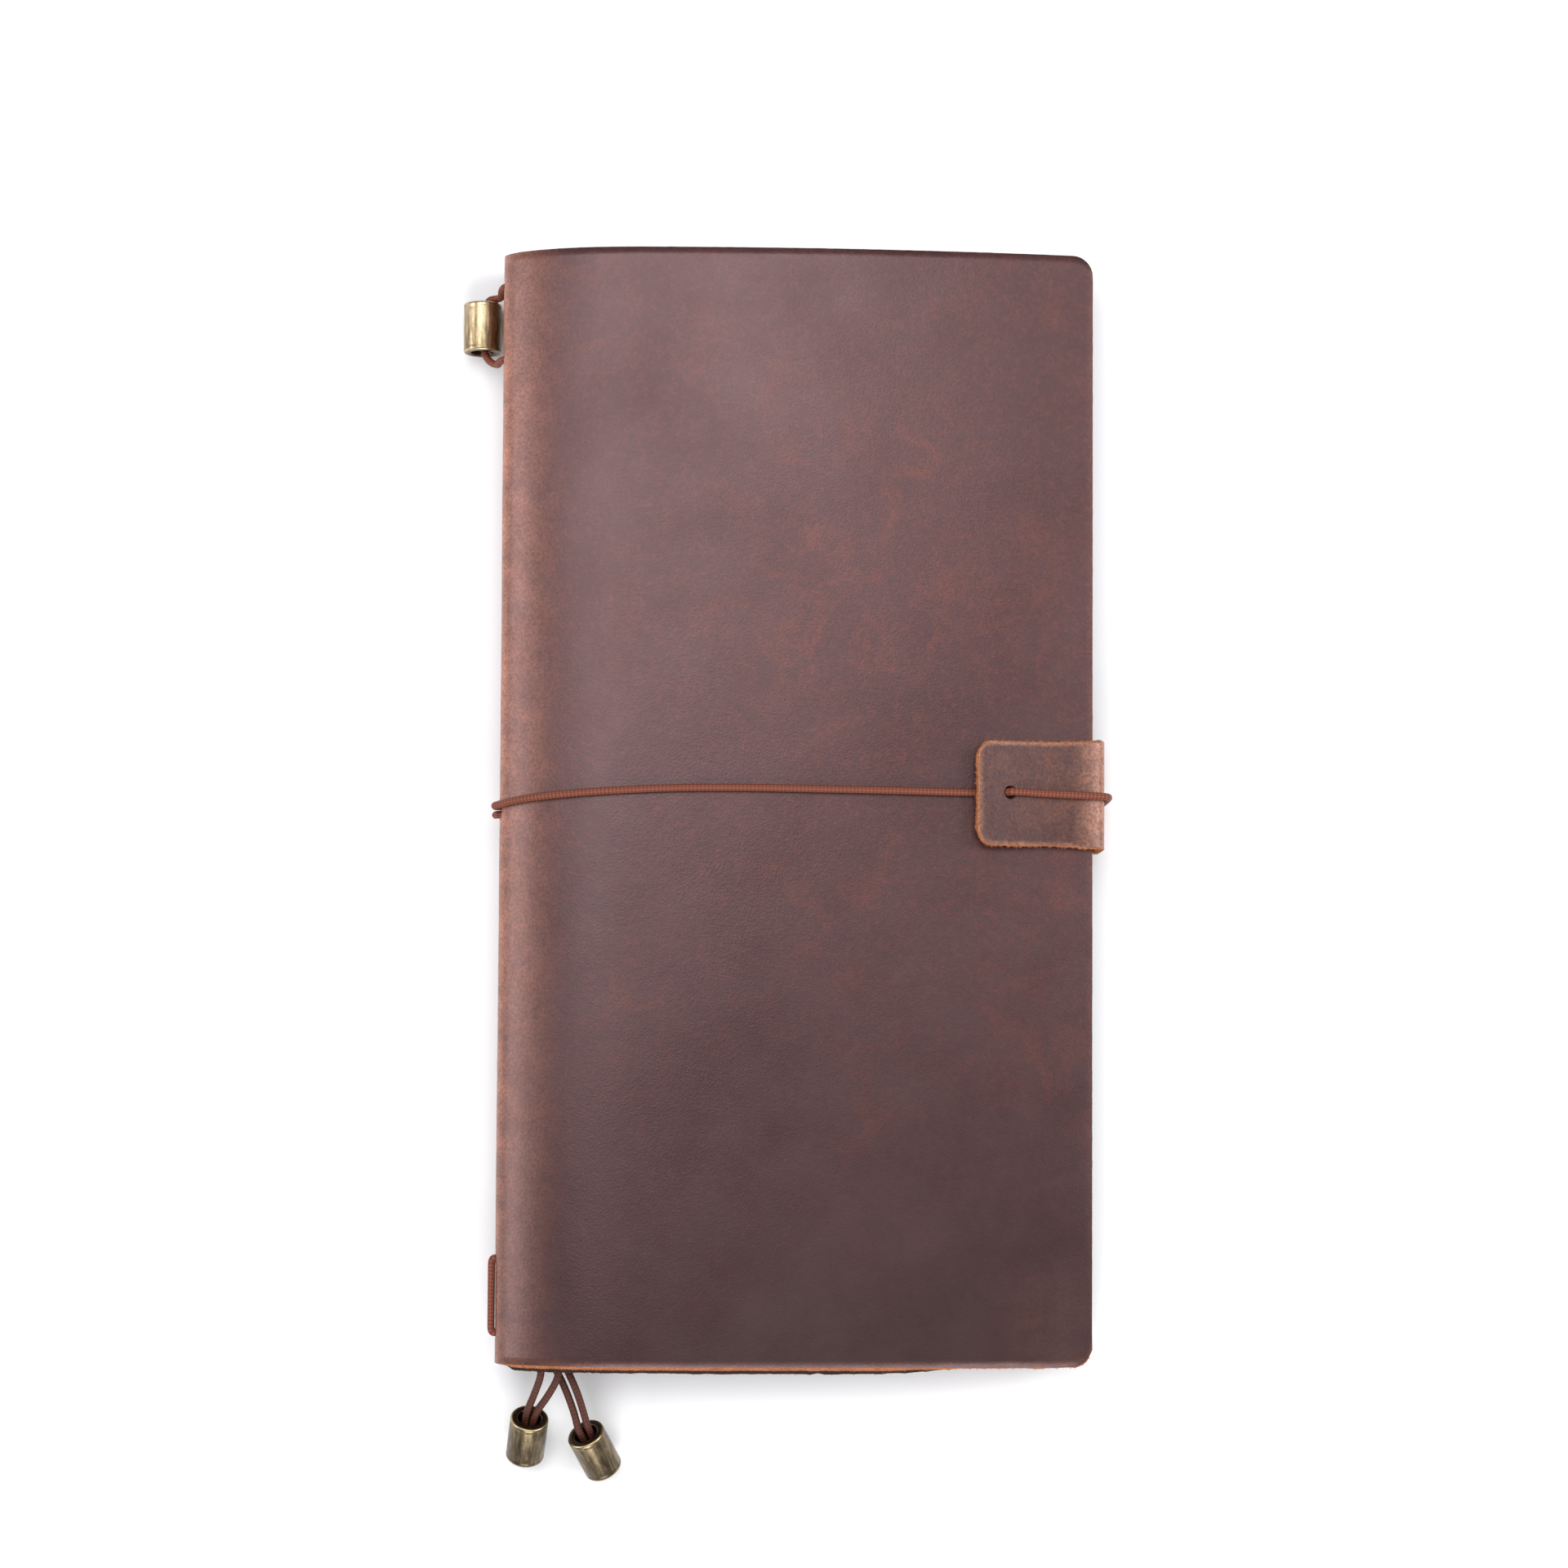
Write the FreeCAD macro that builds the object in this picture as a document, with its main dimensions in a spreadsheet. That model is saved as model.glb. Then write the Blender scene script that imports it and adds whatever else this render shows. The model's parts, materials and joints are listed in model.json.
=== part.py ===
import FreeCAD, Part
import math
import os
from FreeCAD import Placement, Rotation, Vector

# Refillable leather notebook cover, closed and lying on its back.
# X runs from the spine (-X) to the fore edge (+X), Y up the page, Z up from the table.
# All lengths are in millimetres.

os.makedirs("parts", exist_ok=True)
doc = FreeCAD.newDocument("NotebookCover")

SIZES = {
    # one folded sheet of leather
    "cover_width": 117.5,
    "cover_height": 220.0,
    "leather_thickness": 2.0,
    "corner_radius": 4.0,
    "spine_radius": 8.35,
    "spine_floor": 1.7,
    "spine_open_angle": 165.0,
    "fore_edge_floor": 3.9,
    "crown_top": 19.0,
    "crown_radius": 582.0,
    "crown_from_spine": 34.85,
    "hinge_gap": 1.35,
    # elastic cord and its holes
    "elastic_diameter": 1.5,
    "binding_hole_radius": 1.0,
    "closure_hole_radius": 1.75,
    "inner_hole_from_middle": 89.5,
    "outer_hole_from_middle": 104.3,
    # keeper tab folded over the fore edge
    "tab_thickness": 1.6,
    "tab_width": 20.2,
    "tab_middle_up": 2.3,
    "tab_left": 37.6,
    "tab_corner_radius": 3.0,
    "tab_hole_radius": 1.3,
    "tab_hole_from_end": 6.9,
    "tab_fold_overhang": 1.75,
    "band_overhang": 3.9,
    # refill booklets
    "booklet_width": 105.0,
    "booklet_height": 210.0,
    "booklet_thickness": 2.4,
    "booklet_card": 0.25,
    "booklet_fold_room": 2.1,
    "booklet_gap": 0.1,
    "staple_wire": 0.5,
    "staple_length": 12.0,
    "staple_from_middle": 52.0,
    # metal beads
    "bead_radius": 3.8,
    "bead_length": 10.0,
    "bead_bore_radius": 2.3,
    "bead_rim_round": 0.5,
    "spine_bead_out": 4.9,
    "spine_bead_up_page": 97.0,
    "bookmark_bead_lift": 34.0,
    # knots and hitches
    "bookmark_knot_radius": 1.9,
    "hitch_ring_radius": 1.45,
    "hitch_cord_radius": 0.7,
}

sheet = doc.addObject("Spreadsheet::Sheet", "Sizes")
for row, (alias, value) in enumerate(SIZES.items(), start=1):
    sheet.set(f"A{row}", alias)
    sheet.set(f"B{row}", str(value))
    sheet.setAlias(f"B{row}", alias)
doc.recompute()


def size(alias):
    return float(sheet.get(alias))


# ---------------------------------------------------------------- places worked out from the sizes

# The box between the spine bead's outer side and the closure band is centred on X = 0.
SPINE_BEAD_REACH = size("spine_bead_out") + size("bead_radius")
SPINE_X = (SPINE_BEAD_REACH - size("cover_width") - size("band_overhang")) / 2
FORE_EDGE_X = SPINE_X + size("cover_width")
BEND_X = SPINE_X + size("spine_radius")
BEND_Z = size("spine_floor") + size("spine_radius")
HALF_HEIGHT = size("cover_height") / 2

# The front panel is a slice of a wide cylinder whose top lies at CROWN_X.
CROWN_X = SPINE_X + size("crown_from_spine")
CROWN_Z = size("crown_top") - size("crown_radius")
FRONT_START_X = BEND_X - size("hinge_gap")

# The back panel rises from the spine to the fore edge.
BACK_RUN = FORE_EDGE_X - BEND_X
BACK_RISE = size("fore_edge_floor") - size("spine_floor")
BACK_TILT = math.degrees(math.atan2(BACK_RISE, BACK_RUN))

AXIS_X, AXIS_Y, AXIS_Z = Vector(1, 0, 0), Vector(0, 1, 0), Vector(0, 0, 1)
CORD_RADIUS = size("elastic_diameter") / 2


def front_z(x):
    """Height of the front panel's outer face at x."""
    return CROWN_Z + math.sqrt(size("crown_radius") ** 2 - (x - CROWN_X) ** 2)


def on_back(x, y, height):
    """A place above the back panel's outer face, tilted with the panel."""
    tilt = Rotation(AXIS_Y, -BACK_TILT)
    start = Vector(BEND_X, 0, size("spine_floor"))
    return Placement(start + tilt.multVec(Vector(x - BEND_X, y, height)), tilt)


# ---------------------------------------------------------------- small makers

subparts = []


def sub_part(item, label):
    item.Label = label
    subparts.append(item)
    return item


def box(name, length, width, height, placement):
    item = doc.addObject("Part::Box", name)
    item.setExpression("Length", length)
    item.setExpression("Width", width)
    item.setExpression("Height", height)
    item.Placement = placement
    return item


def cylinder(name, radius, height, placement):
    item = doc.addObject("Part::Cylinder", name)
    item.setExpression("Radius", radius)
    item.setExpression("Height", height)
    item.Placement = placement
    return item


def combine(kind, name, base, tool):
    item = doc.addObject(kind, name)
    item.Base = base
    item.Tool = tool
    return item


def fuse(name, pieces):
    item = doc.addObject("Part::MultiFuse", name)
    item.Shapes = pieces
    return item


def round_upright_edges(name, base, x, radius):
    """Fillet the two edges of a box that stand along its own Z at local x."""
    doc.recompute()
    inverse = base.Placement.inverse()
    chosen = []
    for index, edge in enumerate(base.Shape.Edges, start=1):
        ends = [inverse.multVec(vertex.Point) for vertex in edge.Vertexes]
        upright = abs(ends[0].x - ends[1].x) < 1e-6 and abs(ends[0].y - ends[1].y) < 1e-6
        if upright and abs(ends[0].x - x) < 1e-6:
            chosen.append((index, radius, radius))
    item = doc.addObject("Part::Fillet", name)
    item.Base = base
    item.Edges = chosen
    return item


def rounded_path(points, radii):
    """Straight runs joined by tangent arcs. A radius of None is as large as its two runs allow."""
    edges = []
    used = []
    last = points[0]
    for before, corner, after, radius in zip(points, points[1:], points[2:], radii):
        run_in, run_out = corner - before, after - corner
        turn = run_in.getAngle(run_out)
        shorter = min(run_in.Length, run_out.Length)
        if radius is None:
            radius = 0.45 * shorter / math.tan(turn / 2)
        run_in.normalize()
        run_out.normalize()
        tangent = radius * math.tan(turn / 2)
        inward = run_out - run_in
        inward.normalize()
        arc_start = corner - run_in * tangent
        arc_middle = corner + inward * (radius / math.cos(turn / 2) - radius)
        arc_end = corner + run_out * tangent
        edges.append(Part.LineSegment(last, arc_start).toShape())
        edges.append(Part.Arc(arc_start, arc_middle, arc_end).toShape())
        used.append(radius)
        last = arc_end
    edges.append(Part.LineSegment(last, points[-1]).toShape())
    return Part.Wire(edges), used


def cord_tube(name, label, diameter, route):
    """A round cord along a route of (x, y, z) or (x, y, z, arc radius) points."""
    points = [Vector(*stop[:3]) for stop in route]
    radii = [stop[3] if len(stop) > 3 else None for stop in route[1:-1]]
    path, used = rounded_path(points, radii)
    section = Part.makeCircle(diameter / 2, points[0], points[1] - points[0])
    solid = path.makePipeShell([Part.Wire(section)], True, False)
    expected = math.pi * diameter**2 / 4 * path.Length
    print(f"{label}: length {path.Length:.1f}, volume {solid.Volume:.1f} of {expected:.1f}")
    print(f"{label}: arc radii " + ", ".join(f"{radius:.1f}" for radius in used))
    item = doc.addObject("Part::Feature", name)
    item.Shape = solid
    item.Placement = Placement()
    return sub_part(item, label)


def knot(name, label, centre, radii):
    item = doc.addObject("Part::Ellipsoid", name)
    item.Radius2, item.Radius3, item.Radius1 = radii
    item.Placement = Placement(Vector(*centre), Rotation())
    return sub_part(item, label)


# ---------------------------------------------------------------- leather cover

ALONG_Y = Rotation(AXIS_X, -90)


def make_back_panel():
    panel = box(
        "BackPanelBoard",
        "(Sizes.cover_width - Sizes.spine_radius)",
        "Sizes.cover_height",
        "Sizes.leather_thickness",
        on_back(BEND_X, -HALF_HEIGHT, 0),
    )
    rounded = round_upright_edges("BackPanel", panel, BACK_RUN, size("corner_radius"))
    sub_part(rounded, "cover_back_panel")


def make_spine():
    """A half-ring bend with four binding holes and one closure hole."""
    start = Vector(BEND_X, -HALF_HEIGHT, BEND_Z)
    from_floor = ALONG_Y.multiply(Rotation(AXIS_Z, 90))
    outer = cylinder("BendOuter", "Sizes.spine_radius", "Sizes.cover_height", Placement(start, from_floor))
    outer.setExpression("Angle", "Sizes.spine_open_angle")
    inner = cylinder(
        "BendInner",
        "Sizes.spine_radius - Sizes.leather_thickness",
        "Sizes.cover_height",
        Placement(start, from_floor),
    )
    bend = combine("Part::Cut", "Bend", outer, inner)
    across = Rotation(AXIS_Y, 90)
    drills = []
    outer_hole, inner_hole = size("outer_hole_from_middle"), size("inner_hole_from_middle")
    for index, up_page in enumerate((-outer_hole, -inner_hole, inner_hole, outer_hole)):
        place = Placement(Vector(SPINE_X - 1, up_page, BEND_Z), across)
        drill = cylinder(f"BindingHole{index}", "Sizes.binding_hole_radius", "Sizes.spine_radius / 2", place)
        drills.append(drill)
    place = Placement(Vector(SPINE_X - 1, CLOSURE_HOLE_Y, BEND_Z), across)
    drills.append(cylinder("ClosureHole", "Sizes.closure_hole_radius", "Sizes.spine_radius / 2", place))
    holes = fuse("SpineHoles", drills)
    sub_part(combine("Part::Cut", "Spine", bend, holes), "cover_spine")


def make_front_panel():
    """A crowned panel, cut from a wide tube, with two rounded corners at the fore edge."""
    place = Placement(Vector(CROWN_X, -HALF_HEIGHT, CROWN_Z), ALONG_Y)
    outer = cylinder("CrownOuter", "Sizes.crown_radius", "Sizes.cover_height", place)
    inner_radius = "Sizes.crown_radius - Sizes.leather_thickness"
    inner = cylinder("CrownInner", inner_radius, "Sizes.cover_height", place)
    crown = combine("Part::Cut", "Crown", outer, inner)
    outline = box(
        "FrontOutline",
        "Sizes.cover_width - Sizes.spine_radius + Sizes.hinge_gap",
        "Sizes.cover_height",
        "Sizes.crown_top",
        Placement(Vector(FRONT_START_X, -HALF_HEIGHT, size("spine_radius")), Rotation()),
    )
    length = FORE_EDGE_X - FRONT_START_X
    rounded = round_upright_edges("FrontOutlineRounded", outline, length, size("corner_radius"))
    sub_part(combine("Part::Common", "FrontPanel", crown, rounded), "cover_front_panel")


# ---------------------------------------------------------------- closure band and keeper tab

CLOSURE_HOLE_Y = -1.05
FRONT_STRAND_Y = -0.2
BACK_STRAND_Y = -1.9
CORD_OUT_X = SPINE_X - CORD_RADIUS - 0.1
CORD_BEND = 8.1
TIGHT = 0.85


def make_closure_band():
    """One elastic loop: out of the spine, over the front, round the fore edge and back underneath."""

    def over_front(x, y):
        return (x, y, front_z(x) + CORD_RADIUS + 0.2)

    fold_x = FORE_EDGE_X + size("band_overhang") - CORD_RADIUS
    tab_hole_x = size("tab_left") + size("tab_hole_from_end")
    inside_x = BEND_X - 4.4
    route = [
        (inside_x, FRONT_STRAND_Y, BEND_Z),
        (CORD_OUT_X, FRONT_STRAND_Y, BEND_Z, TIGHT),
        (CORD_OUT_X, 0.4, BEND_Z + 9.3, CORD_BEND),
        over_front(-41.0, 1.9),
        over_front(-18.0, 3.1),
        over_front(6.5, 2.9),
        over_front(22.5, 2.7),
        over_front(36.0, 2.5),
        (tab_hole_x - 1.6, 2.5, 16.3, 0.9),
        (tab_hole_x - 0.1, 2.5, 18.7, 1.2),
        (51.5, 2.3, 17.3, 12.0),
        (fold_x, 2.0, 15.5, 3.0),
        (fold_x, 1.6, CORD_RADIUS, 3.0),
        (tab_hole_x + 1.3, 1.6, CORD_RADIUS, 0.9),
        (tab_hole_x - 0.9, 1.6, 2.35, 0.9),
        (36.0, 1.5, 2.33),
        (CORD_OUT_X, -0.6, 0.76, CORD_BEND),
        (CORD_OUT_X, BACK_STRAND_Y, BEND_Z, TIGHT),
        (inside_x, BACK_STRAND_Y, BEND_Z),
    ]
    cord_tube("ClosureBand", "closure_band", size("elastic_diameter"), route)
    knot("ClosureKnot", "closure_knot", (BEND_X - 4.1, CLOSURE_HOLE_Y, BEND_Z), (1.7, 2.6, 1.9))


def make_closure_tab():
    """A leather strip folded over the fore edge, with a hole in each flap for the band."""
    middle_y, left = size("tab_middle_up"), size("tab_left")
    fold_x = FORE_EDGE_X + size("tab_fold_overhang")
    profile = [
        Vector(left, middle_y, 18.6),
        Vector(51.5, middle_y, 15.5),
        Vector(fold_x, middle_y, 13.9),
        Vector(fold_x, middle_y, 2.4),
        Vector(48.0, middle_y, 2.35),
        Vector(41.5, middle_y, 0.8),
        Vector(left, middle_y, 0.8),
    ]
    path, used = rounded_path(profile, [15.0, 2.4, 2.4, 4.0, 4.0])
    half_thick, half_wide = size("tab_thickness") / 2, size("tab_width") / 2
    along = profile[1] - profile[0]
    along.normalize()
    across = AXIS_Y.cross(along) * half_thick
    side = AXIS_Y * half_wide
    corners = [across + side, across - side, -across - side, -across + side, across + side]
    section = Part.makePolygon([profile[0] + corner for corner in corners])
    strip = doc.addObject("Part::Feature", "TabStrip")
    strip.Shape = path.makePipeShell([section], True, False)
    strip.Placement = Placement()
    outline = box(
        "TabOutline",
        "Sizes.cover_width / 3",
        "Sizes.tab_width",
        "Sizes.crown_top * 1.5",
        Placement(Vector(left, middle_y - half_wide, -size("leather_thickness")), Rotation()),
    )
    rounded = round_upright_edges("TabOutlineRounded", outline, 0, size("tab_corner_radius"))
    shaped = combine("Part::Common", "TabShaped", strip, rounded)
    hole = cylinder(
        "TabHole",
        "Sizes.tab_hole_radius",
        "Sizes.crown_top * 1.5",
        Placement(Vector(left + size("tab_hole_from_end"), middle_y, -1), Rotation()),
    )
    sub_part(combine("Part::Cut", "ClosureTab", shaped, hole), "closure_tab")


# ---------------------------------------------------------------- booklets and their binding elastic

BOOKLET_LEFT = BEND_X + 0.6
BOOKLET_HEIGHTS = {1: 4.6, 2: 2.1}
STRAND_X = BOOKLET_LEFT + 1.15


def strand_z(booklet):
    """Height of the elastic inside a booklet's fold."""
    height = BOOKLET_HEIGHTS[booklet] + size("booklet_thickness") / 2
    return on_back(STRAND_X, 0, height).Base.z


def make_booklet(number):
    """A folded card cover open towards the fore edge, its block of pages and two staples."""
    base = BOOKLET_HEIGHTS[number]
    low_y = -size("booklet_height") / 2
    card = size("booklet_card")
    outer = box(
        f"Card{number}Outer",
        "Sizes.booklet_width",
        "Sizes.booklet_height",
        "Sizes.booklet_thickness",
        on_back(BOOKLET_LEFT, low_y, base),
    )
    inner = box(
        f"Card{number}Inner",
        "Sizes.booklet_width",
        "Sizes.booklet_height",
        "Sizes.booklet_thickness - 2 * Sizes.booklet_card",
        on_back(BOOKLET_LEFT + card, low_y, base + card),
    )
    sub_part(combine("Part::Cut", f"Card{number}", outer, inner), f"booklet_{number}_cover")
    pages = box(
        f"Pages{number}",
        "Sizes.booklet_width - Sizes.booklet_fold_room - 0.5",
        "Sizes.booklet_height - 1",
        "Sizes.booklet_thickness - 2 * Sizes.booklet_card - Sizes.booklet_gap",
        on_back(BOOKLET_LEFT + size("booklet_fold_room"), low_y + 0.5, base + card + size("booklet_gap") / 2),
    )
    sub_part(pages, f"booklet_{number}_pages")
    wire, length = size("staple_wire"), size("staple_length")
    middle = base + size("booklet_thickness") / 2 - wire / 2
    wires = []
    for side in (-1, 1):
        start = side * size("staple_from_middle") - length / 2
        crown_place = on_back(BOOKLET_LEFT - wire, start, middle)
        wires.append(
            box(
                f"Staple{number}Crown{side + 1}",
                "Sizes.staple_wire",
                "Sizes.staple_length",
                "Sizes.staple_wire",
                crown_place,
            )
        )
        for end, leg_y in enumerate((start, start + length - wire)):
            leg_place = on_back(BOOKLET_LEFT - wire, leg_y, middle)
            leg_name = f"Staple{number}Leg{side + 1}{end}"
            wires.append(
                box(leg_name, "Sizes.staple_wire * 1.7", "Sizes.staple_wire", "Sizes.staple_wire", leg_place)
            )
    sub_part(fuse(f"Staples{number}", wires), f"booklet_{number}_staples")


def make_binding_elastic():
    """One closed loop through four spine holes: a strand in each booklet's fold, a run outside each end."""
    outer_y, inner_y = size("outer_hole_from_middle"), size("inner_hole_from_middle")
    end_y = size("booklet_height") / 2 + 2.0
    upper, lower = strand_z(1), strand_z(2)
    bead_x = SPINE_X - size("spine_bead_out")
    bead_y, bead_z = size("spine_bead_up_page"), size("bead_radius")
    half_bead = size("bead_length") / 2 + 1.2
    knot_x, knot_z = BEND_X - 3.1, BEND_Z - 2.45
    turn_x = BEND_X - 1.6
    route = [
        (knot_x, 98.8, knot_z),
        (turn_x, end_y - 1, BEND_Z - 3.1),
        (STRAND_X, end_y, lower, 1.2),
        (STRAND_X, -end_y, lower, 1.2),
        (turn_x, -end_y + 1, BEND_Z - 3.1),
        (BEND_X - 5.4, -inner_y - 0.4, BEND_Z - 0.15),
        (CORD_OUT_X, -inner_y, BEND_Z, TIGHT),
        (CORD_OUT_X, -outer_y, BEND_Z, TIGHT),
        (BEND_X - 4.6, -outer_y, BEND_Z),
        (turn_x, -end_y + 0.6, BEND_Z - 0.7),
        (STRAND_X, -end_y, upper, 1.2),
        (STRAND_X, end_y, upper, 1.2),
        (turn_x, end_y - 0.6, BEND_Z - 0.7),
        (BEND_X - 4.6, outer_y, BEND_Z),
        (CORD_OUT_X, outer_y, BEND_Z, TIGHT),
        (bead_x + 0.6, bead_y + half_bead, bead_z + 0.6),
        (bead_x + 0.2, bead_y, bead_z),
        (bead_x + 0.6, bead_y - half_bead, bead_z + 0.6),
        (CORD_OUT_X, inner_y, BEND_Z, TIGHT),
        (BEND_X - 5.4, inner_y + 0.4, BEND_Z - 0.15),
        (knot_x, 97.0, knot_z),
    ]
    cord_tube("BindingElastic", "binding_elastic", size("elastic_diameter"), route)
    knot("BindingKnot", "binding_knot", (knot_x, 97.9, knot_z), (1.6, 2.3, 1.6))


# ---------------------------------------------------------------- beads


def make_bead(name, label, centre, axis):
    """A short metal tube with rounded rims, turned about its own axis."""
    body = doc.addObject("PartDesign::Body", name)
    tube = body.newObject("PartDesign::AdditiveCylinder", f"{name}Tube")
    tube.setExpression("Radius", "Sizes.bead_radius")
    tube.setExpression("Height", "Sizes.bead_length")
    bore = body.newObject("PartDesign::SubtractiveCylinder", f"{name}Bore")
    bore.setExpression("Radius", "Sizes.bead_bore_radius")
    bore.setExpression("Height", "Sizes.bead_length")
    doc.recompute()
    rims = []
    for index, edge in enumerate(bore.Shape.Edges, start=1):
        if isinstance(edge.Curve, Part.Circle) and abs(edge.Curve.Radius - size("bead_radius")) < 1e-6:
            rims.append(f"Edge{index}")
    rounded = body.newObject("PartDesign::Fillet", f"{name}Rims")
    rounded.Base = (bore, rims)
    rounded.setExpression("Radius", "Sizes.bead_rim_round")
    body.Tip = rounded
    doc.recompute()
    turn = Rotation(AXIS_Z, axis)
    middle = turn.multVec(Vector(0, 0, size("bead_length") / 2))
    body.Placement = Placement(centre - middle, turn)
    sub_part(body, label)


def make_spine_bead():
    centre = Vector(SPINE_X - size("spine_bead_out"), size("spine_bead_up_page"), size("bead_radius"))
    make_bead("SpineBead", "spine_bead", centre, AXIS_Y)


# Each bookmark bead rests on the rim of its lower end. Its heading is the way the lower end points.
BOOKMARK_BEADS = {
    "left": {"top": (-49.4, -121.0), "heading": (-0.167, -0.986)},
    "right": {"top": (-38.4, -124.0), "heading": (0.409, -0.912)},
}
KNOT_FROM_TOP = 8.4


def bookmark_bead_frame(side):
    """Centre of the bead's upper face and the unit axis from its lower end to its upper end."""
    lift = math.radians(size("bookmark_bead_lift"))
    heading_x, heading_y = BOOKMARK_BEADS[side]["heading"]
    axis = Vector(-heading_x * math.cos(lift), -heading_y * math.cos(lift), math.sin(lift))
    axis.normalize()
    top_x, top_y = BOOKMARK_BEADS[side]["top"]
    top_z = size("bead_length") * math.sin(lift) + size("bead_radius") * math.cos(lift)
    return Vector(top_x, top_y, top_z), axis


def make_bookmark_bead(side):
    top, axis = bookmark_bead_frame(side)
    centre = top - axis * (size("bead_length") / 2)
    make_bead(f"BookmarkBead{side.title()}", f"bookmark_bead_{side}", centre, axis)
    knot_centre = top - axis * KNOT_FROM_TOP
    radius = size("bookmark_knot_radius")
    knot(f"BookmarkKnot{side.title()}", f"bookmark_knot_{side}", tuple(knot_centre), (radius,) * 3)


# ---------------------------------------------------------------- bookmark cords

BOOKMARK_ROUTES = {
    "left_a": [
        (-51.2, -98.0, 10.3),
        (-49.8, -102.2, 12.4),
        (-47.8, -106.8, 13.1),
        (-46.6, -111.4, 12.6),
        (-48.2, -115.9, 11.3),
        (-50.0, -119.9, 9.4),
        (-50.6, -123.5, 6.9),
        (-51.3, -127.3, 4.4),
    ],
    "left_b": [
        (-49.8, -98.4, 9.0),
        (-47.4, -102.4, 11.2),
        (-44.8, -107.0, 12.0),
        (-43.0, -111.6, 12.4),
        (-45.4, -116.2, 11.4),
        (-48.4, -120.2, 9.4),
        (-49.1, -123.7, 6.9),
        (-49.8, -127.5, 4.4),
    ],
    "right_a": [
        (-50.2, -101.3, 9.5),
        (-48.2, -105.2, 10.7),
        (-46.0, -108.8, 10.8),
        (-43.6, -112.4, 9.8),
        (-41.8, -116.4, 10.0),
        (-40.4, -120.2, 10.2),
        (-39.7, -123.5, 9.4),
        (-38.1, -126.7, 6.9),
        (-36.6, -130.3, 4.4),
    ],
    "right_b": [
        (-49.2, -101.0, 8.8),
        (-46.6, -104.4, 10.0),
        (-43.8, -107.9, 10.4),
        (-41.6, -112.0, 10.8),
        (-39.8, -116.0, 11.0),
        (-38.6, -119.8, 10.8),
        (-37.9, -122.7, 9.5),
        (-36.6, -126.1, 6.9),
        (-35.0, -129.5, 4.4),
    ],
}
HITCH_CENTRES = {"left": (-51.6, -97.6, 8.47), "right": (-50.8, -100.9, 7.85)}
HITCH_AXIS = Vector(3.8, -16.1, -3.0)


def make_bookmark_cords():
    for strand, route in BOOKMARK_ROUTES.items():
        cord_tube(f"BookmarkCord_{strand}", f"bookmark_cord_{strand}", size("elastic_diameter"), route)
    for side, centre in HITCH_CENTRES.items():
        hitch = doc.addObject("Part::Torus", f"BookmarkHitch{side.title()}")
        hitch.setExpression("Radius1", "Sizes.hitch_ring_radius")
        hitch.setExpression("Radius2", "Sizes.hitch_cord_radius")
        hitch.Placement = Placement(Vector(*centre), Rotation(AXIS_Z, HITCH_AXIS))
        sub_part(hitch, f"bookmark_hitch_{side}")


# ---------------------------------------------------------------- build, check and write

make_back_panel()
make_spine()
make_front_panel()
make_closure_band()
make_closure_tab()
make_booklet(1)
make_booklet(2)
make_binding_elastic()
make_spine_bead()
make_bookmark_bead("left")
make_bookmark_bead("right")
make_bookmark_cords()
doc.recompute()

for item in doc.Objects:
    if "Invalid" in item.State or "Error" in item.State:
        raise RuntimeError(f"{item.Name} failed: {item.State}")
for item in subparts:
    if item.Shape.isNull() or not item.Shape.isValid():
        raise RuntimeError(f"{item.Label} has no valid shape")
for item in subparts:
    item.Shape.exportStep(f"parts/{item.Label}.step")
    print(f"{item.Label}: {len(item.Shape.Solids)} solid, {item.Shape.Volume:.1f} cubic mm")
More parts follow.
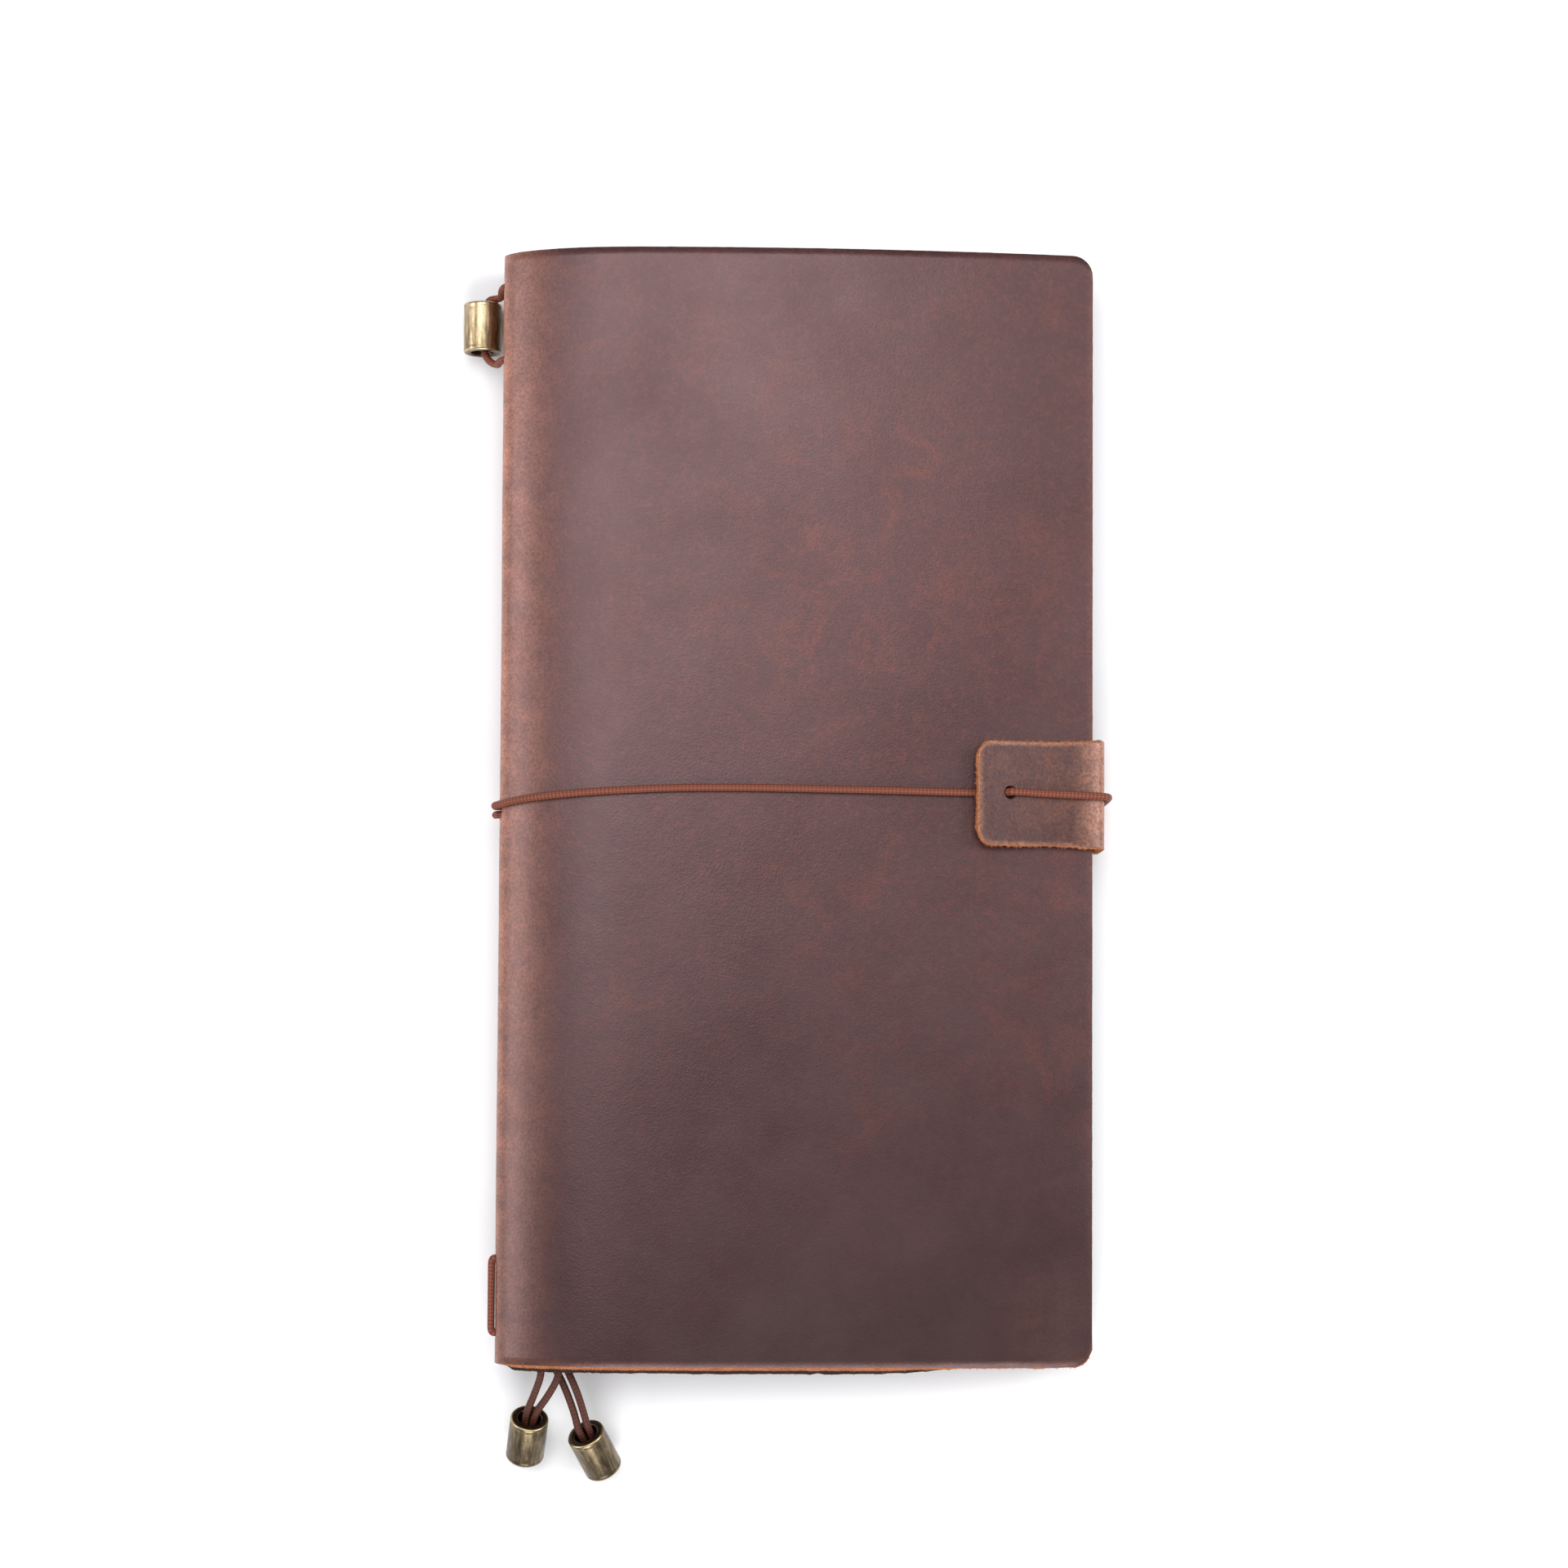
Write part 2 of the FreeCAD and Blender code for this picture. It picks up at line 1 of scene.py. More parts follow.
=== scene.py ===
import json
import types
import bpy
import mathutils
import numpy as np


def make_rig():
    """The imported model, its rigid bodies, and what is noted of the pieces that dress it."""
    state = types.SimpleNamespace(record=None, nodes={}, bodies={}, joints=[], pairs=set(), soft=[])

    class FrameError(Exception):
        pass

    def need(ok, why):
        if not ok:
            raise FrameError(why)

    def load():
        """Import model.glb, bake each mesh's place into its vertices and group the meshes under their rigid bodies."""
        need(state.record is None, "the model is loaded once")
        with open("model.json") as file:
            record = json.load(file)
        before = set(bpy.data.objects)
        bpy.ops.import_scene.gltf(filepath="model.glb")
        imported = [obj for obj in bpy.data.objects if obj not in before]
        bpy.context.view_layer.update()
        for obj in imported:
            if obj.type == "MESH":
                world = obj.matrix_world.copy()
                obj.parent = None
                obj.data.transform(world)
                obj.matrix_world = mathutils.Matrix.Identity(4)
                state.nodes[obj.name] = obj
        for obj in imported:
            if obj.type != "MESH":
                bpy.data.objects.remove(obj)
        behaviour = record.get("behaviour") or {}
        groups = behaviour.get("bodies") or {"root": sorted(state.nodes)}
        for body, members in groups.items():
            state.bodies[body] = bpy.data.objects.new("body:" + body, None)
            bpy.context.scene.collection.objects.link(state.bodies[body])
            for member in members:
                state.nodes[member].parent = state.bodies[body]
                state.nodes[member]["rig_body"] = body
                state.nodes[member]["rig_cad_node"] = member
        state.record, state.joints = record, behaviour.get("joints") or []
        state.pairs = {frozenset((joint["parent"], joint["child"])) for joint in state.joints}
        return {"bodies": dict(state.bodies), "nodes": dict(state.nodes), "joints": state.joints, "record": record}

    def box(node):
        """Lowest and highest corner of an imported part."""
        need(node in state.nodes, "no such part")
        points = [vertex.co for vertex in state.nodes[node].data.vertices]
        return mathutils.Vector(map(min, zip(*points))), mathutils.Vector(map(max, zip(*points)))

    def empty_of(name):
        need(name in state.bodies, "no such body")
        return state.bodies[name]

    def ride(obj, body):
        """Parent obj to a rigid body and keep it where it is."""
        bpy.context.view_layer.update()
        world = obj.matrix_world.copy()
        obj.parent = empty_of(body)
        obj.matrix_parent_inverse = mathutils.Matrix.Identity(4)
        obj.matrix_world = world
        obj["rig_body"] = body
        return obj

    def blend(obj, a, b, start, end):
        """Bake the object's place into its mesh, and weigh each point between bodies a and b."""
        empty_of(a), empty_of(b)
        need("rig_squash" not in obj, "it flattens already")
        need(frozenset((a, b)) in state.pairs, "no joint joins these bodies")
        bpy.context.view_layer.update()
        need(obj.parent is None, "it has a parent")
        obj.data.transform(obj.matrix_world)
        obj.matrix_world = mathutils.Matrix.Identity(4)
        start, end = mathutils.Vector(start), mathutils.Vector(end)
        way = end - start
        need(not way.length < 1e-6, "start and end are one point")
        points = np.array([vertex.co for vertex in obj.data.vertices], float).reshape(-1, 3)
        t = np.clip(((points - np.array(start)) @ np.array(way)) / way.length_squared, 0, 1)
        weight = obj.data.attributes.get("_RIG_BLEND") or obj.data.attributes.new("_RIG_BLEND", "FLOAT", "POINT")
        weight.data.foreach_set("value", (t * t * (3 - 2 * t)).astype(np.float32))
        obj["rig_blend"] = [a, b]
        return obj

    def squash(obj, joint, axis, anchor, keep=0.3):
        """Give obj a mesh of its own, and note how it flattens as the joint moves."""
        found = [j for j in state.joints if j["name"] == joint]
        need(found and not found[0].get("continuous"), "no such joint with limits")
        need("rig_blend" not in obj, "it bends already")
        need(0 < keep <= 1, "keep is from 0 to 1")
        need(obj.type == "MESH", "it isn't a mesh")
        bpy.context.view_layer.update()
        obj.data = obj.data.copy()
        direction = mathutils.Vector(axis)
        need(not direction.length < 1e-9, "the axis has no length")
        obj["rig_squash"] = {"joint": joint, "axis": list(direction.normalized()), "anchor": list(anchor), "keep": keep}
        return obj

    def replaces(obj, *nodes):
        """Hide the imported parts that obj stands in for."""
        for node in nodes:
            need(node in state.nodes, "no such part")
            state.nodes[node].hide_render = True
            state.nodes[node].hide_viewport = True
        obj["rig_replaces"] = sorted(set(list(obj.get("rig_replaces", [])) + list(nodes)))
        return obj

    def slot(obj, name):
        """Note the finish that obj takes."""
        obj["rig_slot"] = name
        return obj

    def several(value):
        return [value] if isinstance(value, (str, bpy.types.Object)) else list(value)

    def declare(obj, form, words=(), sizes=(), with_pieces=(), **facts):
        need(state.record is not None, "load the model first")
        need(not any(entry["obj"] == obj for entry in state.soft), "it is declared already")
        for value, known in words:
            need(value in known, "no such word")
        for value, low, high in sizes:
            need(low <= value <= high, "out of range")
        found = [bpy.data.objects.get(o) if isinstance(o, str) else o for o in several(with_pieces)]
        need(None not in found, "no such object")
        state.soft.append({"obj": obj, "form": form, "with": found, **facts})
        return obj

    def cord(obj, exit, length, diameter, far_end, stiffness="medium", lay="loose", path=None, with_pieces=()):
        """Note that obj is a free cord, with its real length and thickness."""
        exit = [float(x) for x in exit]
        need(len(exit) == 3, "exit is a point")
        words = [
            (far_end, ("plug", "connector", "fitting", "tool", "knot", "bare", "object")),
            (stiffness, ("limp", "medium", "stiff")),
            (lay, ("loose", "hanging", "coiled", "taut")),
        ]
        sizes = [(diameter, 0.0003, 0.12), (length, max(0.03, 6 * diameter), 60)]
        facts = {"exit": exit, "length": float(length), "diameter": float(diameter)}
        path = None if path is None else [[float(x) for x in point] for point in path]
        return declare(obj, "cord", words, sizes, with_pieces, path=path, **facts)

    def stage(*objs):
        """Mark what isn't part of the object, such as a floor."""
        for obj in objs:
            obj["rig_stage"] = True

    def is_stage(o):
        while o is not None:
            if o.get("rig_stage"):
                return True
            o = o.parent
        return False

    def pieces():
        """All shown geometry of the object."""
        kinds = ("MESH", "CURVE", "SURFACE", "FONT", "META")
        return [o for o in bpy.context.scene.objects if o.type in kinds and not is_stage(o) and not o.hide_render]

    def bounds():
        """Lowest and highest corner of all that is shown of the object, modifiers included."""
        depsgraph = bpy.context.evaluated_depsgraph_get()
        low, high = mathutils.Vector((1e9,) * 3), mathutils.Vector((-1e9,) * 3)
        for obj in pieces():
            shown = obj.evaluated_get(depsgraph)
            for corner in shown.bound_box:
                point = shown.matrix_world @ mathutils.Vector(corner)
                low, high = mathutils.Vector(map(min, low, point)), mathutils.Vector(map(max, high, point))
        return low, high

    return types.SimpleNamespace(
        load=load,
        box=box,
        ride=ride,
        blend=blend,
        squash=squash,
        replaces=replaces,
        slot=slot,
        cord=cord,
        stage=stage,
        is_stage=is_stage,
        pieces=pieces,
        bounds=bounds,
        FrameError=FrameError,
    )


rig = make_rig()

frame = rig.load()
CAD_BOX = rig.bounds()

import json
import math
import random

import bmesh
import bpy
from mathutils import Matrix, Vector, noise

# Shapes are typed in millimetres and turned into metres by MM. Already in metres are the bookmark cords'
# routes, the camera's distance, the lamps, the floor, and X and Y inside materials.
MM = 0.001


def mm(*values):
    return Vector([value * MM for value in values])


def add_object(name, data):
    piece = bpy.data.objects.new(name, data)
    bpy.context.scene.collection.objects.link(piece)
    return piece


# ---------------------------------------------------------------- places taken from the frame


def box_corners(node):
    """The lowest and the highest corner of a CAD node, in mm."""
    return [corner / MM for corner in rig.box(node)]


_, BACK_HIGH = box_corners("cover_back_panel")
SPINE_LOW, _ = box_corners("cover_spine")
_, FRONT_HIGH = box_corners("cover_front_panel")

LEATHER = 2.0
HALF_HEIGHT = BACK_HIGH.y
CORD = 1.5

# The spine's bend, an arc round (BEND_X, BEND_Z) that joins the back to the front.
SPINE_X = SPINE_LOW.x
BEND_RADIUS = 8.35
BEND_X = SPINE_X + BEND_RADIUS
BEND_Z = SPINE_LOW.z + BEND_RADIUS

# The front is a wide arc, highest at CROWN_X. The back rises to BACK_FORE_Z at the fore edge.
FORE_X = FRONT_HIGH.x
CROWN_RADIUS = 582.0
CROWN_TOP = FRONT_HIGH.z
CROWN_X = SPINE_X + 34.85
BACK_FORE_Z = 3.9

# The front rolls down to the spine over ROLL mm, along a superellipse's quarter.
ROLL = 28.0
ROLL_POWER = 2.3
ROLL_END = SPINE_X + ROLL
ROLL_STEP = 0.01


def front_z(x):
    """Height of the front's outer face, in mm."""
    return CROWN_TOP - CROWN_RADIUS + math.sqrt(CROWN_RADIUS**2 - (x - CROWN_X) ** 2)


def smooth(low, high, value):
    """0 at low, 1 at high, with a soft start and end."""
    share = min(1.0, max(0.0, (value - low) / (high - low)))
    return share * share * (3 - 2 * share)


def rolled_z(x):
    """The front's outer face with its soft roll down to the spine, in mm."""
    into = min(1.0, max(0.0, (ROLL_END - x) / ROLL))
    return BEND_Z + (front_z(x) - BEND_Z) * math.sqrt(1 - into**ROLL_POWER)


def roll_xz(turn):
    x = ROLL_END - ROLL * math.cos(turn)
    return x, rolled_z(x)


def roll_point(turn, gap=0.0):
    """A point gap mm above the roll: turn 0 is the spine's middle, pi/2 is where the roll ends."""
    x, z = roll_xz(turn)
    ahead_x, ahead_z = roll_xz(turn + ROLL_STEP)
    along = Vector((ahead_x - x, ahead_z - z)).normalized()
    return x - along.y * gap, z + along.x * gap


# ---------------------------------------------------------------- camera

CAMERA_DISTANCE = 0.600
CAMERA_TILT = math.radians(2.5)
CAMERA_ROLL = math.radians(0.3)
CAMERA_SHIFT = 0.08
LENS = 69.24
SENSOR = 36.0
AIM = mm(0.15, 4.6, 9.5)


def make_camera():
    """Looks down on the cover from beyond its tail; the shift keeps the cover's sides parallel."""
    data = bpy.data.cameras.new("main_camera")
    data.lens = LENS
    data.sensor_width = SENSOR
    data.shift_y = CAMERA_SHIFT
    camera = add_object("main_camera", data)
    turn = Matrix.Rotation(CAMERA_TILT, 3, "X") @ Matrix.Rotation(CAMERA_ROLL, 3, "Z")
    ray = turn @ Vector((0, CAMERA_SHIFT * SENSOR / LENS, -1))
    camera.location = AIM - ray * CAMERA_DISTANCE
    camera.rotation_euler = turn.to_euler()
    bpy.context.scene.camera = camera


make_camera()

# ---------------------------------------------------------------- node helpers

# The Mix node keeps its colour inputs and output after those for numbers and vectors.
MIX_COLOUR_A = 6
MIX_COLOUR_B = 7
MIX_COLOUR_RESULT = 2
RANGE_INPUTS = ("From Min", "From Max", "To Min", "To Max")


class Nodes:
    """A short way to write one material's node tree."""

    def __init__(self, name):
        self.material = bpy.data.materials.new(name)
        self.material.use_nodes = True
        self.tree = self.material.node_tree
        self.shader = self.tree.nodes["Principled BSDF"]
        self.place = self.new("ShaderNodeTexCoord").outputs["Object"]

    def new(self, kind, **settings):
        node = self.tree.nodes.new(kind)
        for key, value in settings.items():
            setattr(node, key, value)
        return node

    def link(self, source, target):
        self.tree.links.new(source, target)

    def put(self, socket, value):
        if isinstance(value, bpy.types.NodeSocket):
            self.link(value, socket)
        else:
            socket.default_value = value

    def pale_and_highlit(self, scale, vector=None):
        mapping = self.new("ShaderNodeMapping")
        self.link(vector or self.place, mapping.inputs["Vector"])
        mapping.inputs["Scale"].default_value = scale
        return mapping.outputs["Vector"]

    def noise(self, size_mm, detail=4.0, rough=0.55, vector=None, distortion=0.0):
        node = self.new("ShaderNodeTexNoise")
        self.link(vector or self.place, node.inputs["Vector"])
        node.inputs["Scale"].default_value = 1 / (size_mm * MM)
        node.inputs["Detail"].default_value = detail
        node.inputs["Roughness"].default_value = rough
        node.inputs["Distortion"].default_value = distortion
        return node.outputs["Fac"]

    def cells(self, size_mm):
        node = self.new("ShaderNodeTexVoronoi")
        self.link(self.place, node.inputs["Vector"])
        node.inputs["Scale"].default_value = 1 / (size_mm * MM)
        return node.outputs["Distance"]

    def fit(self, value, low, high, to_low=0.0, to_high=1.0):
        node = self.new("ShaderNodeMapRange")
        self.link(value, node.inputs["Value"])
        for key, number in zip(RANGE_INPUTS, (low, high, to_low, to_high)):
            node.inputs[key].default_value = number
        return node.outputs["Result"]

    def math(self, kind, first, second):
        node = self.new("ShaderNodeMath", operation=kind)
        self.put(node.inputs[0], first)
        self.put(node.inputs[1], second)
        return node.outputs[0]

    def mix(self, factor, first, second):
        node = self.new("ShaderNodeMix", data_type="RGBA")
        self.put(node.inputs["Factor"], factor)
        for index, value in ((MIX_COLOUR_A, first), (MIX_COLOUR_B, second)):
            is_socket = isinstance(value, bpy.types.NodeSocket)
            self.put(node.inputs[index], value if is_socket else (*value, 1.0))
        return node.outputs[MIX_COLOUR_RESULT]

    def axis(self, name):
        node = self.new("ShaderNodeSeparateXYZ")
        self.link(self.place, node.inputs[0])
        return node.outputs[name]

    def attribute(self, name):
        return self.new("ShaderNodeAttribute", attribute_name=name).outputs["Fac"]

    def bump(self, height, depth_mm, strength=1.0):
        node = self.new("ShaderNodeBump")
        self.link(height, node.inputs["Height"])
        node.inputs["Distance"].default_value = depth_mm * MM
        node.inputs["Strength"].default_value = strength
        self.link(node.outputs["Normal"], self.shader.inputs["Normal"])

    def finish(self, colour, roughness, metallic=0.0, specular=0.5):
        self.link(colour, self.shader.inputs["Base Color"])
        self.put(self.shader.inputs["Roughness"], roughness)
        self.shader.inputs["Metallic"].default_value = metallic
        self.shader.inputs["Specular IOR Level"].default_value = specular
        return self.material


# ---------------------------------------------------------------- materials

WAX_TINT = (1.0, 0.73, 0.755, 1.0)
PORE_DARK = (0.018, 0.007, 0.006)
SPECK_LIGHT = (0.20, 0.09, 0.06)
# Painted shade: the cover's colour darkens towards its tail, a little less near the spine, where less light falls.
PAINTED_TAIL_SHADE = (0.0100, 0.0020, 0.0018)


def grain_leather(name, deep, middle, film, rub, pale_and_highlight, shine=0.80):
    """Waxed pull-up leather, laid on in the order that shows.

    Cloudy base, pale film, rusty rubs and specks, painted shade that darkens the tail, the places that the
    mesh's "light" attribute makes pale (worn edges, the tab's stretched fold, and a painted highlight round the spine's
    bend), and pores over everything.
    """
    n = Nodes(name)
    clouds = n.fit(n.noise(60, 4, 0.5, distortion=0.4), 0.34, 0.68)
    colour = n.mix(clouds, deep, middle)
    veil = n.fit(n.noise(24, 6, 0.62), 0.42, 0.74, 0.0, 0.7)
    colour = n.mix(veil, colour, film)

    rusty = n.fit(n.noise(11, 7, 0.75, distortion=1.1), 0.50, 0.70, 0.0, 0.8)
    near_spine = n.fit(n.axis("X"), -0.056, -0.028, 0.9, 0.0)
    patch = n.math("MAXIMUM", n.fit(n.noise(48, 3), 0.40, 0.62), near_spine)
    colour = n.mix(n.math("MULTIPLY", rusty, patch), colour, rub)
    freckles = n.fit(n.noise(1.5, 5, 0.7), 0.48, 0.68, 0.0, 0.40)
    colour = n.mix(freckles, colour, rub)
    specks = n.fit(n.cells(3.4), 0.0, 0.045, 0.45, 0.0)
    colour = n.mix(n.math("MULTIPLY", specks, patch), colour, SPECK_LIGHT)

    # Painted shade: darker towards the tail, lighter near the spine.
    towards_tail = n.fit(n.axis("Y"), -0.105, 0.012, 0.90, 0.0)
    off_spine = n.fit(n.axis("X"), -0.055, 0.0, 0.72, 1.0)
    colour = n.mix(n.math("MULTIPLY", towards_tail, off_spine), colour, PAINTED_TAIL_SHADE)

    # Pale from the "light" attribute: worn edges, the tab's stretched fold, and a painted highlight, partly
    # stretch-paling, round the spine's bend. All of it fades towards the tail, as painted shade.
    broken = n.fit(n.noise(5, 6, 0.7), 0.30, 0.64, 0.35, 1.15)
    pale_and_highlit = n.math("MULTIPLY", n.attribute("light"), broken)
    pale_and_highlit = n.math("MULTIPLY", pale_and_highlit, n.fit(n.axis("Y"), -0.10, 0.0, 0.55, 1.0))
    colour = n.mix(pale_and_highlit, colour, pale_and_highlight)

    pores = n.noise(0.55, 3, 0.6)
    colour = n.mix(n.fit(pores, 0.40, 0.66, 0.0, 0.58), colour, PORE_DARK)
    shallow = n.math("ADD", n.math("MULTIPLY", pores, 0.6), n.math("MULTIPLY", n.cells(0.42), 0.5))
    n.bump(n.math("ADD", shallow, n.math("MULTIPLY", n.noise(2.6, 3), 0.7)), 0.05, 0.55)
    film_rough = n.fit(n.noise(30, 6, 0.65), 0.34, 0.70, 0.31, 0.43)
    n.shader.inputs["Specular Tint"].default_value = WAX_TINT
    return n.finish(colour, film_rough, specular=shine)


def cut_edge_leather(name, dark, light):
    """The raw cut edge: fuzzy and unfinished."""
    n = Nodes(name)
    fibres = n.noise(0.35, 5, 0.75)
    colour = n.mix(n.fit(fibres, 0.3, 0.7), dark, light)
    colour = n.mix(n.fit(n.noise(4, 3), 0.45, 0.7, 0, 0.5), colour, dark)
    n.bump(fibres, 0.25, 0.9)
    return n.finish(colour, 0.9, specular=0.2)


def flesh_leather():
    """The napped flesh side that faces the booklets."""
    n = Nodes("leather_flesh_side")
    nap = n.noise(0.8, 6, 0.8, distortion=1.5)
    colour = n.mix(n.fit(nap, 0.3, 0.7), (0.115, 0.050, 0.028), (0.26, 0.125, 0.070))
    colour = n.mix(n.fit(n.noise(22, 4), 0.4, 0.65, 0, 0.4), colour, (0.10, 0.045, 0.028))
    n.bump(nap, 0.18, 0.8)
    return n.finish(colour, 0.95, specular=0.15)


def woven(name, dark, light):
    """Braided elastic sleeve: the braid's ridges are in the mesh, with painted shade darkening the grooves between
    them; the threads are here.
    """
    n = Nodes(name)
    ridge = n.attribute("ridge")
    threads = n.noise(0.12, 3, 0.6)
    # Painted shade: the grooves between the braid's ridges take the dark colour, the ridges the light one.
    colour = n.mix(n.fit(ridge, 0.0, 1.0), dark, light)
    colour = n.mix(n.fit(threads, 0.35, 0.7, 0.0, 0.45), colour, dark)
    n.bump(threads, 0.03, 0.6)
    return n.finish(colour, 0.55, specular=0.28)


BEAD_INSIDE = (0.080, 0.054, 0.038)


def antique_brass(name, patina, gold, worn_from, worn_to):
    """Dark patina over brass, worn to gold on the rims and in long streaks along the bead.

    The mesh's "lathe" attribute is a point's place in the bead's own frame in mm, not metres, so a
    noise size of 600 there is 0.6 mm.
    """
    n = Nodes(name)
    lathe = n.new("ShaderNodeAttribute", attribute_name="lathe").outputs["Vector"]
    streaks = n.noise(600, 5, 0.6, vector=n.pale_and_highlit((1.0, 1.0, 0.16), lathe))
    broad = n.noise(2600, 2, 0.5, vector=n.pale_and_highlit((1.0, 1.0, 0.3), lathe))
    both = n.math("ADD", n.math("MULTIPLY", streaks, 0.5), n.math("MULTIPLY", broad, 0.5))
    worn = n.math("MAXIMUM", n.fit(both, worn_from, worn_to), n.attribute("rim"))
    colour = n.mix(worn, patina, gold)
    dust = n.fit(n.noise(0.5, 4, 0.7), 0.45, 0.7, 0.0, 0.45)
    colour = n.mix(dust, colour, patina)
    colour = n.mix(n.attribute("shade"), colour, BEAD_INSIDE)
    n.bump(n.noise(0.2, 3), 0.01, 0.35)
    rough = n.fit(n.noise(0.6, 3), 0.3, 0.7, 0.26, 0.40)
    return n.finish(colour, rough, metallic=1.0)


def page_block():
    """Edges of many thin pages: fine lines along the block."""
    n = Nodes("page_edges")
    lines = n.noise(0.16, 2, 0.5, vector=n.pale_and_highlit((0.02, 0.02, 1.0)))
    colour = n.mix(n.fit(lines, 0.35, 0.65), (0.50, 0.45, 0.35), (0.86, 0.82, 0.72))
    colour = n.mix(n.fit(n.noise(9, 3), 0.4, 0.7, 0, 0.25), colour, (0.66, 0.56, 0.40))
    n.bump(lines, 0.06, 0.8)
    return n.finish(colour, 0.85, specular=0.25)


def kraft_card():
    """The booklets' soft covers: short fibres and a few dark flecks."""
    n = Nodes("kraft_card_fibre")
    fibres = n.noise(0.5, 5, 0.7, vector=n.pale_and_highlit((1.0, 0.25, 1.0)))
    colour = n.mix(n.fit(fibres, 0.3, 0.7), (0.36, 0.235, 0.13), (0.52, 0.37, 0.22))
    colour = n.mix(n.fit(n.noise(0.3, 2), 0.68, 0.75, 0, 0.6), colour, (0.20, 0.12, 0.06))
    n.bump(fibres, 0.03, 0.6)
    return n.finish(colour, n.fit(n.noise(3, 2), 0.3, 0.7, 0.7, 0.85), specular=0.3)


def staple_steel():
    """Bright drawn wire."""
    n = Nodes("staple_steel")
    colour = n.mix(n.noise(0.3, 3), (0.42, 0.42, 0.43), (0.72, 0.72, 0.72))
    n.bump(n.noise(0.15, 2), 0.01, 0.4)
    return n.finish(colour, n.fit(n.noise(0.4, 2), 0.3, 0.7, 0.25, 0.4), metallic=1.0)


COVER_GRAIN = grain_leather(
    "cover_grain_leather",
    deep=(0.038, 0.0100, 0.0090),
    middle=(0.054, 0.0160, 0.0140),
    film=(0.062, 0.025, 0.024),
    rub=(0.125, 0.029, 0.015),
    pale_and_highlight=(0.50, 0.200, 0.115),
)
TAB_GRAIN = grain_leather(
    "tab_grain_leather",
    deep=(0.044, 0.017, 0.013),
    middle=(0.064, 0.027, 0.023),
    film=(0.078, 0.040, 0.036),
    rub=(0.17, 0.060, 0.028),
    pale_and_highlight=(0.56, 0.265, 0.165),
    shine=0.55,
)
CUT_EDGE = cut_edge_leather("leather_cut_edge", (0.20, 0.058, 0.022), (0.60, 0.235, 0.105))
# Near black: painted shade on the tail's skived lower edge. The cover's other raw edges are dark with it too.
EDGE_DARK_AND_SHADED = cut_edge_leather("leather_dark_and_shaded_edge", (0.014, 0.007, 0.005), (0.050, 0.022, 0.014))
FLESH = flesh_leather()
ELASTIC = woven("woven_elastic", (0.065, 0.016, 0.008), (0.30, 0.082, 0.044))
CORD_ELASTIC = woven("woven_cord_elastic", (0.030, 0.009, 0.006), (0.125, 0.037, 0.021))
BRASS = antique_brass("antique_brass_patina", (0.100, 0.074, 0.047), (0.50, 0.39, 0.22), 0.47, 0.80)
# A lighter copy of the brass with painted light, for the brightly lit spine bead.
BRASS_PAINTED_LIT = antique_brass("antique_brass_painted_lit", (0.20, 0.145, 0.080), (0.66, 0.52, 0.33), 0.40, 0.66)

# ---------------------------------------------------------------- leather sheets

GRAIN_SLOT, EDGE_SLOT, FLESH_SLOT, DARK_AND_SHADED_SLOT = range(4)

# Rings of the raw edge, from the outer face to the inner: how far down as a share of the thickness,
# how far it bulges in mm, and how far it bulges where the tail is skived.
EDGE_RINGS = ((0.10, 0.13, 0.22), (0.40, 0.26, 0.62), (0.65, 0.24, 1.25), (0.88, 0.10, 1.30))
# Fibres grow from rings that bulge more than BRIM_BULGE. The rest of the cover's edge is cut cleaner
# than its tail, by CLEAN_CUT.
BRIM_BULGE = 0.2
CLEAN_CUT = 0.45
SKIVED_LEVEL = 2
SKIVED_DROOP = 0.05
# Size and height in mm of the leather's broad swells and small ripples.
SWELLS = (34, 0.12)
RIPPLES = (9, 0.035)


def wobble(x, y, size, height):
    """A slow, seeded rise and fall of a leather surface, in mm."""
    return height * noise.noise(Vector((x / size, y / size, 3.7)))


def outward(profile, index):
    """Unit normal of a profile of (x, z) points, on the side it was drawn to face."""
    before = profile[max(index - 1, 0)]
    after = profile[min(index + 1, len(profile) - 1)]
    along = (Vector(after) - Vector(before)).normalized()
    return Vector((-along.y, along.x))


def add_attribute(mesh, name, values, kind="FLOAT", field="value"):
    layer = mesh.attributes.new(name, kind, "POINT")
    layer.data.foreach_set(field, values)


class Sheet:
    """The points of a thick strip over a profile of (x, z) points, column by column, in mm.

    half_width(i) is its reach along Y at profile point i, and light(i, share) is how pale it is there,
    where share runs from -1 at the tail side to 1 at the head side.
    """

    def __init__(self, profile, half_width, middle_y, thickness, rows, light):
        self.profile = profile
        self.columns = len(profile)
        self.rows = rows
        self.normals = [outward(profile, i) for i in range(self.columns)]
        self.outer = []
        self.inner = []
        self.lights = []
        for i, (x, z) in enumerate(profile):
            normal = self.normals[i]
            for j in range(rows + 1):
                share = 2 * j / rows - 1
                y = middle_y + share * half_width(i)
                lift = wobble(x, y, *SWELLS) + wobble(x, y, *RIPPLES)
                out = Vector((x + normal.x * lift, y, z + normal.y * lift))
                self.outer.append(out)
                self.inner.append(out - Vector((normal.x, 0, normal.y)) * thickness)
                self.lights.append(light(i, share))

    def at(self, i, j):
        return i * (self.rows + 1) + j

    def border(self):
        """(column, row) of every border point, once round the sheet."""
        order = [(i, 0) for i in range(self.columns)]
        order += [(self.columns - 1, j) for j in range(1, self.rows + 1)]
        order += [(i, self.rows) for i in range(self.columns - 2, -1, -1)]
        order += [(0, j) for j in range(self.rows - 1, 0, -1)]
        return order

    def straight_ends(self, free_start, free_end):
        """The border points where the strip goes on into its neighbour."""
        ends = ([] if free_start else [0]) + ([] if free_end else [self.columns - 1])
        return {self.at(i, j) for i in ends for j in range(self.rows + 1)}


